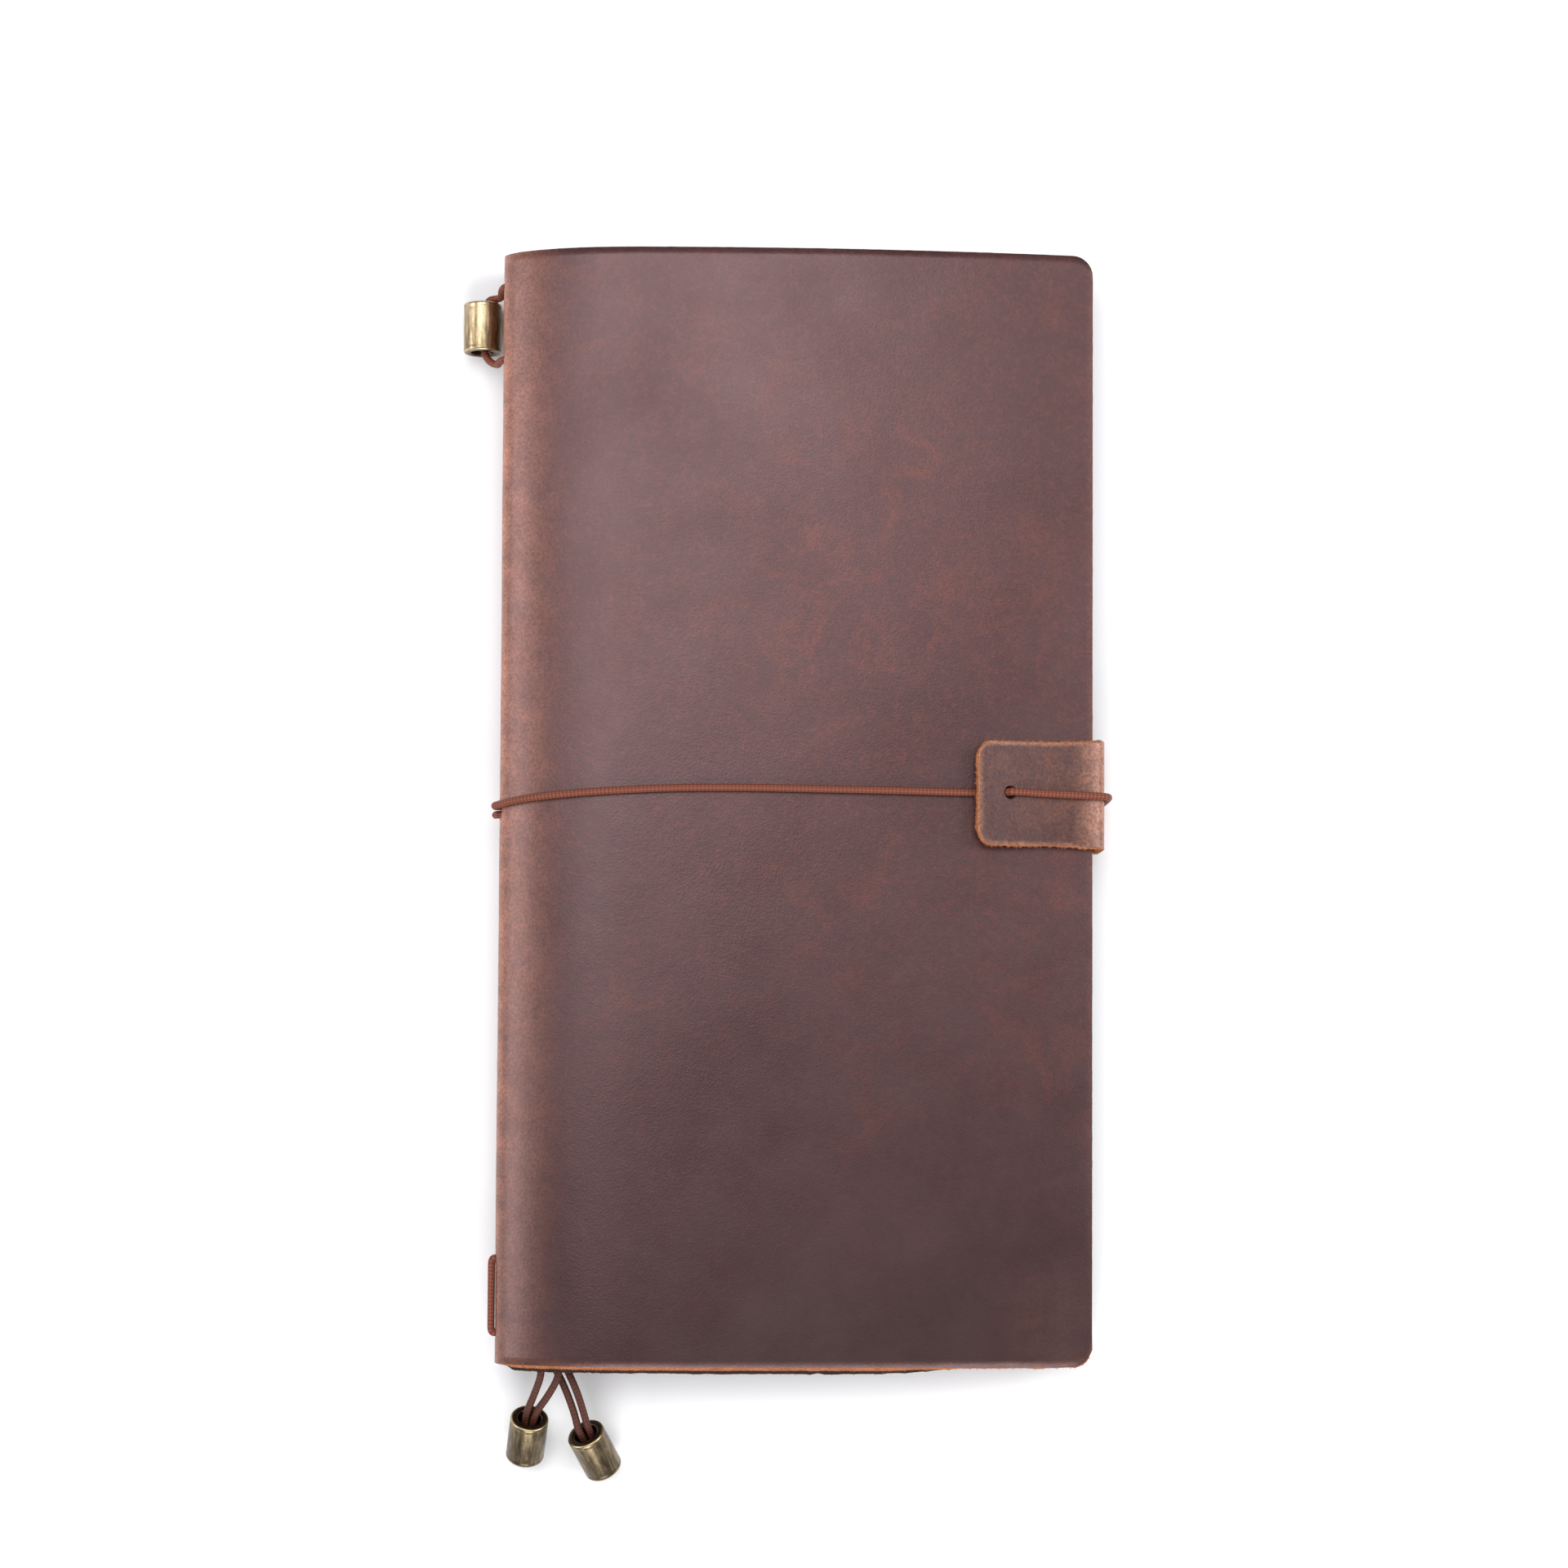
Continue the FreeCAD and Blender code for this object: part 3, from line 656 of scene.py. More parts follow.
def raw_edge(sheet, order, fixed, tail, fuzz):
    """The rings of the raw edge, and its brim, (point, direction) pairs where fibres may grow."""
    loop = [sheet.at(i, j) for i, j in order]
    rings = []
    brim = []
    for share, bulge, tail_bulge in EDGE_RINGS:
        ring = []
        for k, (i, j) in enumerate(order):
            here = loop[k]
            point = sheet.outer[here].lerp(sheet.inner[here], share)
            if here not in fixed:
                along = sheet.outer[loop[(k + 1) % len(loop)]] - sheet.outer[loop[k - 1]]
                away = along.cross(Vector((sheet.normals[i].x, 0, sheet.normals[i].y))).normalized()
                rough = 1 + fuzz * (0.8 * noise.noise(point * 1.7) + 0.7 * noise.noise(point * 5.1))
                droop = tail(sheet.outer[here].x) if tail and j == 0 else 0.0
                if tail and j > 0:
                    rough *= CLEAN_CUT
                reach = bulge * rough * (1 - droop) + tail_bulge * (0.8 + 0.2 * rough) * droop
                point = point + away * reach
                if bulge > BRIM_BULGE and (j == 0 or not tail):
                    brim.append((point, away))
            ring.append(point)
        rings.append(ring)
    return rings, brim


def edge_slot(x, at_tail, level, tail):
    """The cover's raw edge is dark, except at the tail, where only its skived lower part is, and there the dark is
    painted shade.
    """
    if not tail:
        return EDGE_SLOT
    skived = level >= SKIVED_LEVEL and tail(x) > SKIVED_DROOP
    return DARK_AND_SHADED_SLOT if skived or not at_tail else EDGE_SLOT


def sheet_faces(sheet, order, tail):
    """Faces and their material slots: both sides of the sheet, then the raw edge level by level."""
    faces = []
    slots = []
    count = len(sheet.outer)
    for i in range(sheet.columns - 1):
        for j in range(sheet.rows):
            a, b = sheet.at(i, j), sheet.at(i + 1, j)
            c, d = sheet.at(i + 1, j + 1), sheet.at(i, j + 1)
            faces.append((a, d, c, b))
            slots.append(GRAIN_SLOT)
            faces.append((a + count, b + count, c + count, d + count))
            slots.append(FLESH_SLOT)
    loop = [sheet.at(i, j) for i, j in order]
    levels = [loop]
    for ring in range(len(EDGE_RINGS)):
        first = 2 * count + ring * len(loop)
        levels.append(list(range(first, first + len(loop))))
    levels.append([index + count for index in loop])
    for level, (upper, lower) in enumerate(zip(levels, levels[1:])):
        for k, (i, j) in enumerate(order):
            after = (k + 1) % len(loop)
            faces.append((upper[k], upper[after], lower[after], lower[k]))
            slots.append(edge_slot(sheet.profile[i][0], j == 0, level, tail))
    return faces, slots


def leather_piece(name, sheet, free_start=True, free_end=True, tail=None, fuzz=1.0):
    """A sheet as an object: grain outside, raw edge all round, flesh inside. Returns its brim too.

    An end that isn't free is where the strip goes on into its neighbour, so it stays straight.
    """
    order = sheet.border()
    fixed = sheet.straight_ends(free_start, free_end)
    rings, brim = raw_edge(sheet, order, fixed, tail, fuzz)
    vertices = sheet.outer + sheet.inner + [point for ring in rings for point in ring]
    faces, slots = sheet_faces(sheet, order, tail)
    mesh = bpy.data.meshes.new(name)
    mesh.from_pydata([vertex * MM for vertex in vertices], [], faces)
    mesh.validate()
    for material in (COVER_GRAIN, CUT_EDGE, FLESH, EDGE_DARK_AND_SHADED):
        mesh.materials.append(material)
    for polygon, slot_index in zip(mesh.polygons, slots):
        polygon.material_index = slot_index
        polygon.use_smooth = True
    unlit = [0.0] * (len(vertices) - len(sheet.lights))
    add_attribute(mesh, "light", sheet.lights + unlit)
    count = len(sheet.outer)
    shape = bmesh.new()
    shape.from_mesh(mesh)
    bmesh.ops.recalc_face_normals(shape, faces=shape.faces)
    for line in shape.edges:
        indices = [vertex.index for vertex in line.verts]
        if {index % count for index in indices} <= fixed and max(indices) < 2 * count:
            line.smooth = False
    shape.to_mesh(mesh)
    shape.free()
    return add_object(name, mesh), brim


FIBRE_SEED = 11
FIBRE_HALF_WIDTH = 0.04
FIBRE_ROOT = 0.08


def add_fibres(piece, brim, count, longest):
    """Short loose fibres that stand out of the raw edge."""
    chance = random.Random(FIBRE_SEED)
    shape = bmesh.new()
    shape.from_mesh(piece.data)
    for _ in range(count):
        root, away = chance.choice(brim)
        lean = Vector([chance.uniform(-1, 1) for _ in range(3)])
        tip = root + (away + lean * 0.7).normalized() * chance.uniform(0.3, 1.0) * longest
        along = (tip - root).normalized()
        side = along.cross(lean).normalized() * FIBRE_HALF_WIDTH
        other = along.cross(side)
        base = root - away * FIBRE_ROOT
        places = (base - side - other * 0.6, base + side - other * 0.6, base + other, tip)
        a, b, c, d = (shape.verts.new(point * MM) for point in places)
        for corners in ((a, c, b), (a, b, d), (b, c, d), (c, a, d)):
            shape.faces.new(corners).material_index = EDGE_SLOT
    shape.to_mesh(piece.data)
    shape.free()


def cut_holes(piece, drills):
    """Cuts round holes. Each drill is (centre, direction, radius, depth) in mm."""
    cutter_mesh = bmesh.new()
    for centre, direction, radius, depth in drills:
        turn = Vector(direction).to_track_quat("Z", "Y").to_matrix().to_4x4()
        place = Matrix.Translation(mm(*centre)) @ turn
        bmesh.ops.create_cone(
            cutter_mesh, cap_ends=True, segments=24, radius1=radius * MM, radius2=radius * MM,
            depth=depth * MM, matrix=place,
        )
    mesh = bpy.data.meshes.new("drills")
    cutter_mesh.to_mesh(mesh)
    cutter_mesh.free()
    mesh.materials.append(CUT_EDGE)
    cutter = add_object("drills", mesh)
    cut = piece.modifiers.new("holes", "BOOLEAN")
    cut.object = cutter
    cut.solver = "EXACT"
    cut.material_mode = "TRANSFER"
    graph = bpy.context.evaluated_depsgraph_get()
    result = bpy.data.meshes.new_from_object(piece.evaluated_get(graph))
    piece.modifiers.clear()
    old = piece.data
    piece.data = result
    bpy.data.meshes.remove(old)
    bpy.data.objects.remove(cutter)
    bpy.data.meshes.remove(mesh)


# ---------------------------------------------------------------- cover

CORNER = 4.0
CORNER_STEPS = 8
COVER_ROWS = 130
BACK_COLUMNS = 44
BEND_COLUMNS = 20
ROLL_COLUMNS = 30
FRONT_COLUMNS = 60

# The two pieces of leather meet at this turn of the roll, with a narrow column on each side of the seam.
SEAM_TURN = 0.67
BESIDE_SEAM = 0.004

# Holes through the spine: two for the binding elastic at each end, and one for the closure elastic.
OUTER_HOLE_Y = 104.3
INNER_HOLE_Y = 89.5
CLOSURE_HOLE_Y = -1.05
BINDING_HOLE_RADIUS = 1.0
CLOSURE_HOLE_RADIUS = 1.75
DRILL_DEPTH = 5.0


def spread(start, end, count):
    return [start + (end - start) * k / count for k in range(count + 1)]


def fore_edge_xs(inner_x, count):
    """X positions from inner_x to the fore edge, closer together round the corner."""
    plain = spread(inner_x, FORE_X - CORNER, count)
    turns = spread(0.0, math.pi / 2, CORNER_STEPS)[1:]
    return plain + [FORE_X - CORNER + CORNER * math.sin(turn) for turn in turns]


def cover_half_height(x):
    """Half of the cover's height at x, less inside the rounded corners."""
    into = max(0.0, x - (FORE_X - CORNER))
    return HALF_HEIGHT - CORNER + math.sqrt(max(0.0, CORNER**2 - into**2))


def bend_point(angle, radius=BEND_RADIUS):
    return (BEND_X + radius * math.cos(angle), BEND_Z + radius * math.sin(angle))


def back_line_z(x):
    """Height of the back's outer face, which rises a little towards the fore edge."""
    return SPINE_LOW.z + (BACK_FORE_Z - SPINE_LOW.z) * (x - BEND_X) / (FORE_X - BEND_X)


def bend_highlight_and_stretch(x):
    """How pale the leather is made where it bends round the spine: a painted highlight, and partly the leather
    stretched pale.
    """
    wide = smooth(SPINE_X + 15, SPINE_X - 0.4, x)
    narrow = smooth(SPINE_X + 2.4, SPINE_X, x)
    return 0.43 * wide + 0.49 * narrow


def tail_droop(x):
    """Where the cut edge at the tail is skived, so that its lower part, painted dark as shade, shows from above."""
    return smooth(SPINE_X + 0.6, SPINE_X + 4, x) * smooth(38, 20, x)


def make_back():
    """The back panel and the spine up to the seam."""
    back_xs = fore_edge_xs(BEND_X, BACK_COLUMNS)
    profile = [(x, back_line_z(x)) for x in reversed(back_xs)]
    profile += [bend_point(angle) for angle in spread(math.radians(270), math.pi, BEND_COLUMNS)[1:]]
    turns = spread(0.0, SEAM_TURN, BEND_COLUMNS)[1:]
    turns.insert(-1, SEAM_TURN - BESIDE_SEAM)
    profile += [roll_point(turn) for turn in turns]

    def half_width(i):
        return cover_half_height(profile[i][0]) if i < len(back_xs) else HALF_HEIGHT

    # Pale worn head and tail edges, and the painted highlight round the spine's bend.
    def light(i, share):
        return max(0.25 * smooth(0.985, 1.0, abs(share)), bend_highlight_and_stretch(profile[i][0]))

    sheet = Sheet(profile, half_width, 0.0, LEATHER, COVER_ROWS, light)
    back, _ = leather_piece("leather_back_and_spine", sheet, free_end=False, tail=tail_droop)
    hole_x = SPINE_X + 1
    binding_ys = (-OUTER_HOLE_Y, -INNER_HOLE_Y, INNER_HOLE_Y, OUTER_HOLE_Y)
    inward = (1, 0, 0)
    drills = [((hole_x, y, BEND_Z), inward, BINDING_HOLE_RADIUS, DRILL_DEPTH) for y in binding_ys]
    drills.append(((hole_x, CLOSURE_HOLE_Y, BEND_Z), inward, CLOSURE_HOLE_RADIUS, DRILL_DEPTH))
    cut_holes(back, drills)
    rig.ride(back, "back_cover")
    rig.replaces(back, "cover_back_panel", "cover_spine")
    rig.slot(back, "leather")


def make_front():
    """The front from the seam to the fore edge. It bends where it leaves the back's body."""
    turns = spread(SEAM_TURN, math.pi / 2, ROLL_COLUMNS)
    turns.insert(1, SEAM_TURN + BESIDE_SEAM)
    profile = [roll_point(turn) for turn in turns]
    profile += [(x, front_z(x)) for x in fore_edge_xs(ROLL_END, FRONT_COLUMNS)[1:]]

    def half_width(i):
        return cover_half_height(profile[i][0])

    # Pale worn edges and corner, and the painted highlight round the spine's bend.
    def light(i, share):
        x = profile[i][0]
        edge = 0.25 * smooth(0.988, 1.0, -share) + 0.1 * smooth(FORE_X - 1.6, FORE_X, x)
        from_corner = math.hypot(x - (FORE_X - 8), HALF_HEIGHT * (1 + share) - 8)
        return max(edge, bend_highlight_and_stretch(x), 0.09 * smooth(17, 3, from_corner))

    sheet = Sheet(profile, half_width, 0.0, LEATHER, COVER_ROWS, light)
    front, brim = leather_piece("leather_front", sheet, free_start=False, tail=tail_droop)
    add_fibres(front, brim, count=700, longest=0.35)
    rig.blend(
        front, "back_cover", "front_cover",
        start=mm(profile[0][0] - 0.2, 0, CROWN_TOP), end=mm(BEND_X + 3, 0, CROWN_TOP),
    )
    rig.replaces(front, "cover_front_panel")
    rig.slot(front, "leather")


# ---------------------------------------------------------------- cords


def spline_points(points, steps):
    """The line of an open NURBS spline of order 3 over a route's control points, all in metres."""
    curve = bpy.data.curves.new("route", "CURVE")
    curve.dimensions = "3D"
    spline = curve.splines.new("NURBS")
    spline.points.add(len(points) - 1)
    for point, place in zip(spline.points, points):
        point.co = (*place, 1.0)
    spline.order_u = 3
    spline.use_endpoint_u = True
    spline.resolution_u = steps
    holder = bpy.data.objects.new("route", curve)
    mesh = bpy.data.meshes.new_from_object(holder)
    line = [vertex.co.copy() for vertex in mesh.vertices]
    bpy.data.objects.remove(holder)
    bpy.data.curves.remove(curve)
    bpy.data.meshes.remove(mesh)
    return line


def travelled(line):
    """How far along the line each of its points is, in mm."""
    lengths = [0.0]
    for before, after in zip(line, line[1:]):
        lengths.append(lengths[-1] + (after - before).length / MM)
    return lengths


SIDES = 16
BRAID_PITCH = 1.5
BRAID_STRANDS = 4
BRAID_DEPTH = 0.04


def woven_cord(name, route, steps, material=ELASTIC):
    """A braided cord: crossing ridges run round a tube that follows the route's spline."""
    line = spline_points(route, steps)
    travel = travelled(line)
    vertices = []
    ridges = []
    side = None
    for index, place in enumerate(line):
        before = line[max(index - 1, 0)]
        after = line[min(index + 1, len(line) - 1)]
        along = (after - before).normalized()
        if side is None:
            side = along.orthogonal().normalized()
        side = (side - along * side.dot(along)).normalized()
        other = along.cross(side)
        phase = math.tau * travel[index] / BRAID_PITCH
        for k in range(SIDES):
            turn = math.tau * k / SIDES
            strand_turn = BRAID_STRANDS * turn
            braid = math.sin(strand_turn + phase) * math.sin(strand_turn - phase)
            reach = (CORD / 2 - BRAID_DEPTH * (0.5 - 0.5 * braid)) * MM
            vertices.append(place + (side * math.cos(turn) + other * math.sin(turn)) * reach)
            ridges.append(0.5 + 0.5 * braid)
    faces = []
    for index in range(len(line) - 1):
        for k in range(SIDES):
            a = index * SIDES + k
            b = index * SIDES + (k + 1) % SIDES
            faces.append((a, b, b + SIDES, a + SIDES))
    last_ring = (len(line) - 1) * SIDES
    faces.append(tuple(reversed(range(SIDES))))
    faces.append(tuple(range(last_ring, last_ring + SIDES)))
    mesh = bpy.data.meshes.new(name)
    mesh.from_pydata(vertices, [], faces)
    mesh.materials.append(material)
    for polygon in mesh.polygons:
        polygon.use_smooth = True
    add_attribute(mesh, "ridge", ridges)
    return add_object(name, mesh), line


# The cords' own facts, in metres: the routes' control points, where each strand leaves the cover, and
# its length along the line. Each route runs from its hitch inside the cover to its knot in the bead.
BOOKMARK_ROUTES = {
    "left_a": [
        (-0.0512, -0.0980, 0.0103), (-0.0498, -0.1022, 0.0124), (-0.0478, -0.1068, 0.0131),
        (-0.0466, -0.1114, 0.0126), (-0.0482, -0.1159, 0.0113), (-0.0500, -0.1199, 0.0094),
        (-0.0506, -0.1235, 0.0069), (-0.0513, -0.1273, 0.0044),
    ],
    "left_b": [
        (-0.0498, -0.0984, 0.0090), (-0.0474, -0.1024, 0.0112), (-0.0448, -0.1070, 0.0120),
        (-0.0430, -0.1116, 0.0124), (-0.0454, -0.1162, 0.0114), (-0.0484, -0.1202, 0.0094),
        (-0.0491, -0.1237, 0.0069), (-0.0498, -0.1275, 0.0044),
    ],
    "right_a": [
        (-0.0502, -0.1013, 0.0095), (-0.0482, -0.1052, 0.0107), (-0.0460, -0.1088, 0.0108),
        (-0.0436, -0.1124, 0.0098), (-0.0418, -0.1164, 0.0100), (-0.0404, -0.1202, 0.0102),
        (-0.0397, -0.1235, 0.0094), (-0.0381, -0.1267, 0.0069), (-0.0366, -0.1303, 0.0044),
    ],
    "right_b": [
        (-0.0492, -0.1010, 0.0088), (-0.0466, -0.1044, 0.0100), (-0.0438, -0.1079, 0.0104),
        (-0.0416, -0.1120, 0.0108), (-0.0398, -0.1160, 0.0110), (-0.0386, -0.1198, 0.0108),
        (-0.0379, -0.1227, 0.0095), (-0.0366, -0.1261, 0.0069), (-0.0350, -0.1295, 0.0044),
    ],
}
CORD_EXITS = {
    "left_a": (-0.0469, -0.1100, 0.0127),
    "left_b": (-0.0437, -0.1100, 0.0122),
    "right_a": (-0.0452, -0.1100, 0.0105),
    "right_b": (-0.0427, -0.1100, 0.0106),
}
CORD_LENGTHS = {"left_a": 0.0333, "left_b": 0.0347, "right_a": 0.0339, "right_b": 0.0342}


def make_bookmark_cords(beads):
    """Two strands to each bookmark bead."""
    for strand, route in BOOKMARK_ROUTES.items():
        piece, line = woven_cord(f"bookmark_strand_{strand}", route, steps=30, material=CORD_ELASTIC)
        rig.ride(piece, "back_cover")
        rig.replaces(piece, f"bookmark_cord_{strand}")
        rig.slot(piece, "bookmark_cord")
        side = strand.split("_")[0]
        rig.cord(
            piece, exit=CORD_EXITS[strand], length=CORD_LENGTHS[strand], diameter=CORD * MM,
            far_end="fitting", stiffness="limp", lay="loose", with_pieces=[beads[side]], path=line,
        )


RING_RADIUS = 9.52
OVER_GAP = 0.85
UNDER_GAP = 0.82
ROLL_GAP = 1.0

# Share of their height that the closure elastic and the tab keep when the cover lies open, because
# both are taken off before it opens.
SLIPPED_OFF = 0.07


def make_closure_elastic():
    """From its knot in the spine, over the front, through the tab, round behind and back to the knot."""

    def over(x, y):
        return (x, y, rolled_z(x) + OVER_GAP)

    def rolled(turn, y):
        x, z = roll_point(turn, ROLL_GAP)
        return (x, y, z)

    def under(x, y):
        return (x, y, back_line_z(x) - UNDER_GAP)

    def ring(degrees, y):
        x, z = bend_point(math.radians(degrees), RING_RADIUS)
        return (x, y, z)

    out_x = SPINE_X - 0.9
    # Out of the spine's hole and over the roll.
    route = [(-52.4, -0.2, BEND_Z), (-55.0, -0.2, BEND_Z), (out_x + 0.2, -0.3, BEND_Z + 0.05)]
    route += [(out_x, -0.2, BEND_Z + 1.4), rolled(0.20, -0.1), rolled(0.40, 0.3), rolled(0.62, 0.8)]
    route += [rolled(0.85, 1.3), rolled(1.1, 1.8), rolled(1.35, 2.25)]
    # Over the front, and up through the tab's upper hole.
    route += [over(-22.0, 2.9), over(-8.0, 3.05), over(8.0, 2.85), over(22.5, 2.7), over(34.0, 2.5)]
    route += [over(40.5, 2.5), (42.9, 2.5, 16.5), (44.0, 2.55, 17.5), (44.7, 2.6, 18.55)]
    # Over the tab and round the fore edge.
    route += [(46.6, 2.55, 18.4), (51.5, 2.3, 17.3), (57.0, 2.15, 16.45), (61.8, 2.0, 15.95)]
    route += [(64.2, 1.9, 14.9), (64.4, 1.8, 12.0), (64.4, 1.7, 4.5), (64.2, 1.6, 1.4)]
    # Under the tab, through its lower hole, and back under the cover.
    route += [(61.8, 1.6, 0.76), (48.0, 1.6, 0.76), (46.0, 1.6, 0.8), (44.9, 1.6, 1.5)]
    route += [(43.6, 1.6, 2.35), (40.0, 1.6, 2.4), under(34.0, 1.5), under(0.0, 0.8)]
    route += [under(-30.0, 0.0), under(-45.0, -0.4), ring(255, -0.6), ring(225, -1.1), ring(195, -1.6)]
    # Into the spine's hole again.
    route += [(out_x, -1.9, BEND_Z - 1.3), (out_x + 0.2, -1.9, BEND_Z - 0.05)]
    route += [(-55.0, -1.9, BEND_Z), (-52.4, -1.9, BEND_Z)]
    piece, _ = woven_cord("closure_elastic", [mm(*place) for place in route], steps=50)
    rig.ride(piece, "back_cover")
    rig.replaces(piece, "closure_band")
    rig.slot(piece, "elastic")
    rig.squash(piece, "front_cover_hinge", axis=(0, 0, 1), anchor=(0, 0, 0), keep=SLIPPED_OFF)


UPPER_FOLD_Z = 7.53
LOWER_FOLD_Z = 5.03
FOLD_X = -46.25


def binding_diagonal(sign):
    """From the inner hole to the lower booklet's fold, at the head (1) or the tail (-1) of the spine."""
    out_x = SPINE_X - 0.74
    points = [(out_x, 92.0, BEND_Z), (out_x, 89.7, BEND_Z), (-56.0, 89.5, BEND_Z)]
    points += [(-53.4, 89.9, 9.9), (-51.5, 97.5, 8.4), (-49.8, 104.6, 7.1), (-48.9, 106.5, 6.4)]
    points += [(-46.9, 107.1, 5.3), (FOLD_X, 106.2, LOWER_FOLD_Z), (FOLD_X, 103.0, LOWER_FOLD_Z)]
    return [(x, sign * y, z) for x, y, z in points]


def binding_square(sign):
    """From the outer hole to the upper booklet's fold, at the head (1) or the tail (-1)."""
    out_x = SPINE_X - 0.74
    points = [(out_x, 101.8, BEND_Z), (out_x, 104.1, BEND_Z), (-56.0, 104.3, BEND_Z)]
    points += [(-52.6, 104.3, BEND_Z), (-50.0, 106.0, 9.5), (-48.4, 107.0, 8.7), (-46.9, 107.2, 7.8)]
    points += [(FOLD_X, 106.3, UPPER_FOLD_Z), (FOLD_X, 103.0, UPPER_FOLD_Z)]
    return [(x, sign * y, z) for x, y, z in points]


def make_binding_elastic():
    """One loop through both booklets' folds and both pairs of holes, with the bead on its head run."""
    through_bead = [(-57.1, 103.6, 8.6), (-57.2, 102.9, 6.4), (-57.9, 102.9, 4.9), (-60.3, 102.9, 4.0)]
    through_bead += [(-61.1, 99.5, 3.8), (-61.1, 95.0, 3.8), (-60.8, 91.8, 3.9), (-59.6, 90.0, 4.4)]
    through_bead += [(-57.8, 89.1, 6.2), (-57.4, 89.3, 8.4)]
    route = [(-51.2, 98.6, 7.9)] + binding_diagonal(1)[5:]
    route += list(reversed(binding_diagonal(-1))) + binding_square(-1)
    route += list(reversed(binding_square(1)))[:-2] + through_bead
    route += binding_diagonal(1)[2:4] + [(-51.9, 95.5, 8.7), (-51.3, 97.4, 8.2)]
    piece, _ = woven_cord("binding_elastic_cord", [mm(*place) for place in route], steps=40)
    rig.ride(piece, "back_cover")
    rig.replaces(piece, "binding_elastic")
    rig.slot(piece, "elastic")


# ---------------------------------------------------------------- keeper tab

TAB_LEFT = 38.3
TAB_HALF = 10.1
TAB_MIDDLE = 2.3
TAB_CORNER = 3.0
TAB_THICKNESS = 1.6
TAB_ROWS = 80
TAB_HOLE_RADIUS = 1.3
TAB_DRILL_DEPTH = 6.0


def make_tab():
    """A strip folded over the fore edge; its outer face is the profile's outer side."""
    outline = [(TAB_LEFT, 0.0), (41.5, 0.0), (44.0, 0.25), (47.5, 1.45), (52.0, 1.55), (61.2, 1.6)]
    outline += [(63.2, 2.0), (63.75, 3.6), (63.75, 8.2), (63.7, 12.2), (63.0, 14.2), (60.8, 15.0)]
    outline += [(56.0, 15.65), (51.5, 16.4), (46.0, 17.55), (41.5, 18.6), (TAB_LEFT, 19.4)]
    line = spline_points([mm(x, 0, z) for x, z in reversed(outline)], steps=14)
    profile = [(point.x / MM, point.z / MM) for point in line]
    travel = travelled(line)
    total = travel[-1]

    def from_end(i):
        return min(travel[i], total - travel[i])

    def from_fold(i):
        return abs(travel[i] - total / 2)

    def half_width(i):
        into = max(0.0, TAB_CORNER - from_end(i))
        corner = TAB_CORNER - math.sqrt(max(0.0, TAB_CORNER**2 - into**2))
        return TAB_HALF - corner + 0.45 * smooth(18, 3, from_fold(i))

    def light(i, share):
        fold = 0.75 * smooth(13, 5, from_fold(i))
        rim = 0.5 * smooth(1.2, 0.0, from_end(i)) + 0.5 * smooth(0.90, 1.0, abs(share))
        return min(1.0, max(fold, rim))

    sheet = Sheet(profile, half_width, TAB_MIDDLE, TAB_THICKNESS, TAB_ROWS, light)
    tab, brim = leather_piece("keeper_tab_leather", sheet, fuzz=1.7)
    tab.data.materials[GRAIN_SLOT] = TAB_GRAIN
    upper_hole = ((44.5, 2.5, 17.2), (0.2, 0, 1), TAB_HOLE_RADIUS, TAB_DRILL_DEPTH)
    lower_hole = ((44.5, 1.6, 1.2), (0, 0, 1), TAB_HOLE_RADIUS, TAB_DRILL_DEPTH)
    cut_holes(tab, [upper_hole, lower_hole])
    add_fibres(tab, brim, count=1100, longest=0.5)
    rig.ride(tab, "back_cover")
    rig.replaces(tab, "closure_tab")
    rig.slot(tab, "tab_leather")
    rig.squash(tab, "front_cover_hinge", axis=(0, 0, 1), anchor=(0, 0, 0), keep=SLIPPED_OFF)


# ---------------------------------------------------------------- beads

BEAD_RADIUS = 3.8
BEAD_BORE = 2.3
BEAD_HALF = 5.0
BEAD_TURNS = 64
DENT_DEPTH = 0.008


def bead_outline():
    """(radius, height) points round the wall: rolled rims, a shallow groove by each, and the bore."""
    wall = [(BEAD_BORE, -4.7), (BEAD_BORE + 0.15, -4.95), (BEAD_BORE + 0.4, -BEAD_HALF)]
    wall += [(3.35, -BEAD_HALF), (3.62, -4.93), (3.76, -4.75), (BEAD_RADIUS, -4.45)]
    wall += [(3.79, -4.1), (3.75, -3.95), (3.77, -3.8), (3.78, -2.0), (BEAD_RADIUS, 0.0)]
    mirrored = [(radius, -height) for radius, height in reversed(wall[:-1])]
    return wall + mirrored + [(BEAD_BORE, 2.0), (BEAD_BORE, -2.0)]


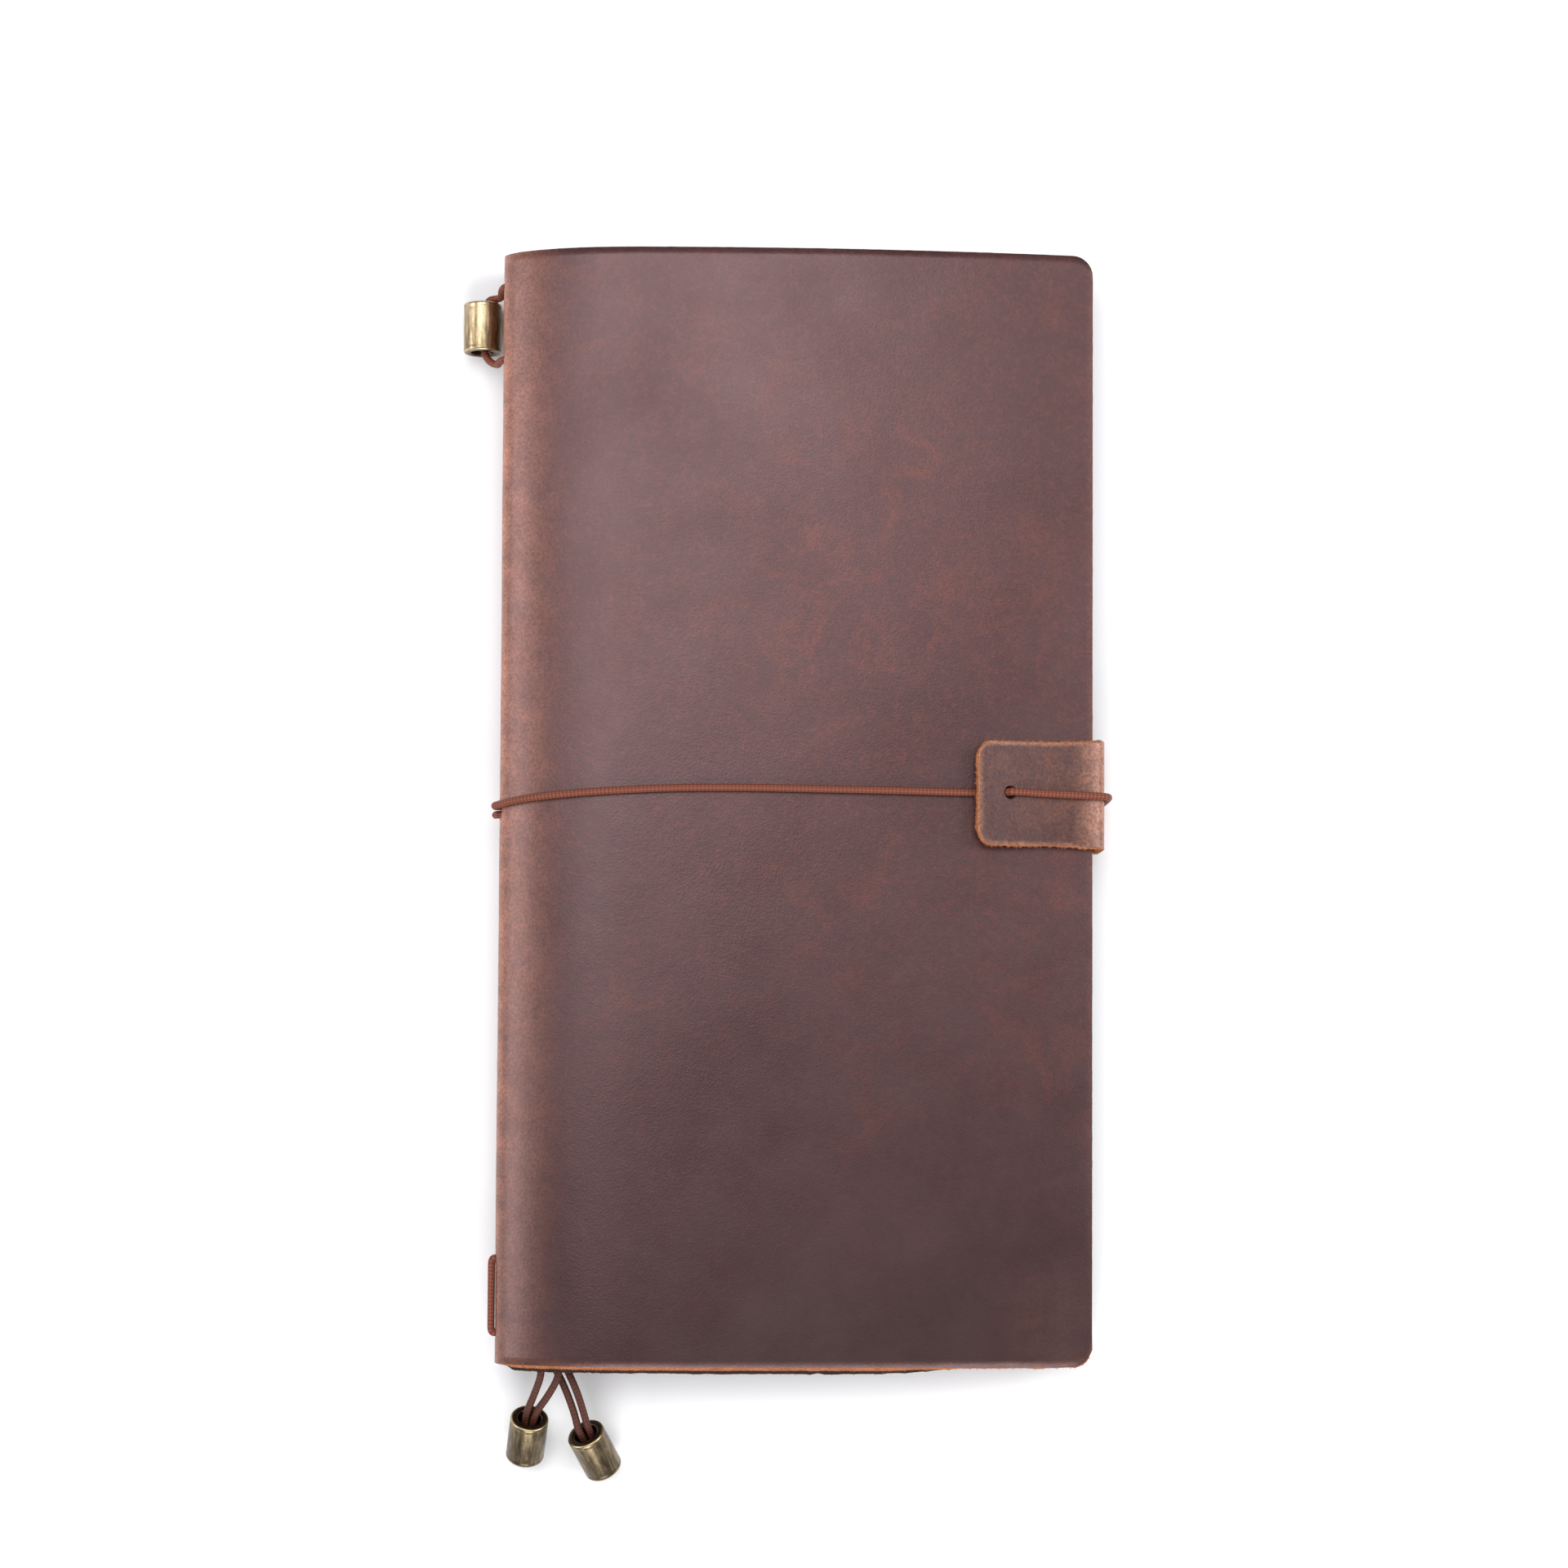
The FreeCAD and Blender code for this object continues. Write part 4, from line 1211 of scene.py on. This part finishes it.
def make_bead(name, node, body, joint_name, material=BRASS):
    """A turned tube round its joint's axis, with small dents."""
    outline = bead_outline()
    joint = next(item for item in frame["joints"] if item["name"] == joint_name)
    centre = Vector(joint["pos_m"])
    turn = Vector(joint["axis"]).normalized().to_track_quat("Z", "Y").to_matrix()
    vertices = []
    rims = []
    shades = []
    lathe = []
    for k in range(BEAD_TURNS):
        angle = math.tau * k / BEAD_TURNS
        across, up = math.cos(angle), math.sin(angle)
        for radius, height in outline:
            dent = DENT_DEPTH * noise.noise(Vector((across * 2.1, up * 2.1, height * 0.5)))
            reach = radius + (dent if radius > 3 else 0)
            vertices.append(centre + turn @ (Vector((across * reach, up * reach, height)) * MM))
            rims.append(0.85 * smooth(4.4, 4.8, abs(height)) * smooth(3.3, 3.6, radius))
            shades.append(smooth(3.5, 3.2, radius))
            lathe += [across * radius, up * radius, height]
    faces = []
    count = len(outline)
    for k in range(BEAD_TURNS):
        here = k * count
        beside = (k + 1) % BEAD_TURNS * count
        for j in range(count):
            above = (j + 1) % count
            faces.append((here + j, beside + j, beside + above, here + above))
    mesh = bpy.data.meshes.new(name)
    mesh.from_pydata(vertices, [], faces)
    mesh.materials.append(material)
    for polygon in mesh.polygons:
        polygon.use_smooth = True
    add_attribute(mesh, "rim", rims)
    add_attribute(mesh, "shade", shades)
    add_attribute(mesh, "lathe", lathe, kind="FLOAT_VECTOR", field="vector")
    bead = add_object(name, mesh)
    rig.ride(bead, body)
    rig.replaces(bead, node)
    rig.slot(bead, "antique_brass")
    return bead


# ---------------------------------------------------------------- pieces that keep their CAD shape


def dress_cad_nodes():
    """Gives each CAD node that stays visible its own material."""
    finishes = {
        "booklet_1_cover": kraft_card(),
        "booklet_1_pages": page_block(),
        "booklet_1_staples": staple_steel(),
    }
    for part in ("cover", "pages", "staples"):
        finishes[f"booklet_2_{part}"] = finishes[f"booklet_1_{part}"]
    for node in ("closure_knot", "binding_knot"):
        finishes[node] = ELASTIC
    for side in ("left", "right"):
        finishes[f"bookmark_knot_{side}"] = CORD_ELASTIC
        finishes[f"bookmark_hitch_{side}"] = CORD_ELASTIC
    for node, material in finishes.items():
        mesh = frame["nodes"][node].data
        for index in range(len(mesh.materials)):
            mesh.materials[index] = material


# ---------------------------------------------------------------- floor and light

FLOOR_REACH = 3.0

# name, place, aim, size and power: metres and watts
LAMPS = (
    ("window_light", (-0.17, 0.40, 1.15), (0.0, 0.05, 0.0), (1.05, 0.66), 8.2),
    ("left_light", (-1.2, 0.10, 0.60), (0.0, 0.0, 0.0), (0.9, 0.7), 7.5),
    ("right_light", (1.15, 0.20, 0.85), (0.0, 0.0, 0.0), (0.8, 0.8), 13.0),
    ("tail_light", (0.05, -1.25, 0.85), (0.0, 0.0, 0.0), (1.0, 0.8), 13.5),
)
WORLD_COLOUR = (0.93, 0.95, 1.0, 1.0)
WORLD_STRENGTH = 0.41


def floor_material():
    """Plain matt paper, barely clouded."""
    n = Nodes("pale_floor")
    colour = n.mix(n.noise(400, 2), (0.86, 0.86, 0.87), (0.88, 0.88, 0.89))
    return n.finish(colour, 0.9, specular=0.1)


def make_studio():
    """A pale floor under soft lamps, with the widest above the cover's head."""
    corners = [(x * FLOOR_REACH, y * FLOOR_REACH, 0) for x, y in ((-1, -1), (1, -1), (1, 1), (-1, 1))]
    mesh = bpy.data.meshes.new("floor")
    mesh.from_pydata(corners, [], [(0, 1, 2, 3)])
    mesh.materials.append(floor_material())
    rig.stage(add_object("floor", mesh))
    world = bpy.data.worlds.new("studio")
    world.use_nodes = True
    background = world.node_tree.nodes["Background"]
    background.inputs["Color"].default_value = WORLD_COLOUR
    background.inputs["Strength"].default_value = WORLD_STRENGTH
    bpy.context.scene.world = world
    for name, place, aim, (wide, tall), power in LAMPS:
        data = bpy.data.lights.new(name, "AREA")
        data.shape = "RECTANGLE"
        data.size, data.size_y = wide, tall
        data.energy = power
        lamp = add_object(name, data)
        lamp.location = place
        lamp.rotation_euler = (Vector(aim) - Vector(place)).to_track_quat("-Z", "Y").to_euler()
    bpy.context.scene.view_settings.view_transform = "Standard"
    bpy.context.scene.view_settings.look = "None"


# ---------------------------------------------------------------- making

bookmark_beads = {
    side: make_bead(
        f"bookmark_bead_{side}_turned",
        node=f"bookmark_bead_{side}",
        body=f"bead_on_{side}_bookmark",
        joint_name=f"{side}_bookmark_bead_turn",
    )
    for side in ("left", "right")
}
# The spine bead takes the lighter brass copy, painted light.
make_bead(
    "spine_bead_turned",
    node="spine_bead",
    body="bead_on_spine",
    joint_name="spine_bead_turn",
    material=BRASS_PAINTED_LIT,
)
make_bookmark_cords(bookmark_beads)
make_back()
make_front()
make_closure_elastic()
make_binding_elastic()
make_tab()
dress_cad_nodes()
make_studio()

with open("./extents.json", "w") as file:
    boxes = {"cad": [list(corner) for corner in CAD_BOX], "visual": [list(corner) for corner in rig.bounds()]}
    json.dump(boxes, file)
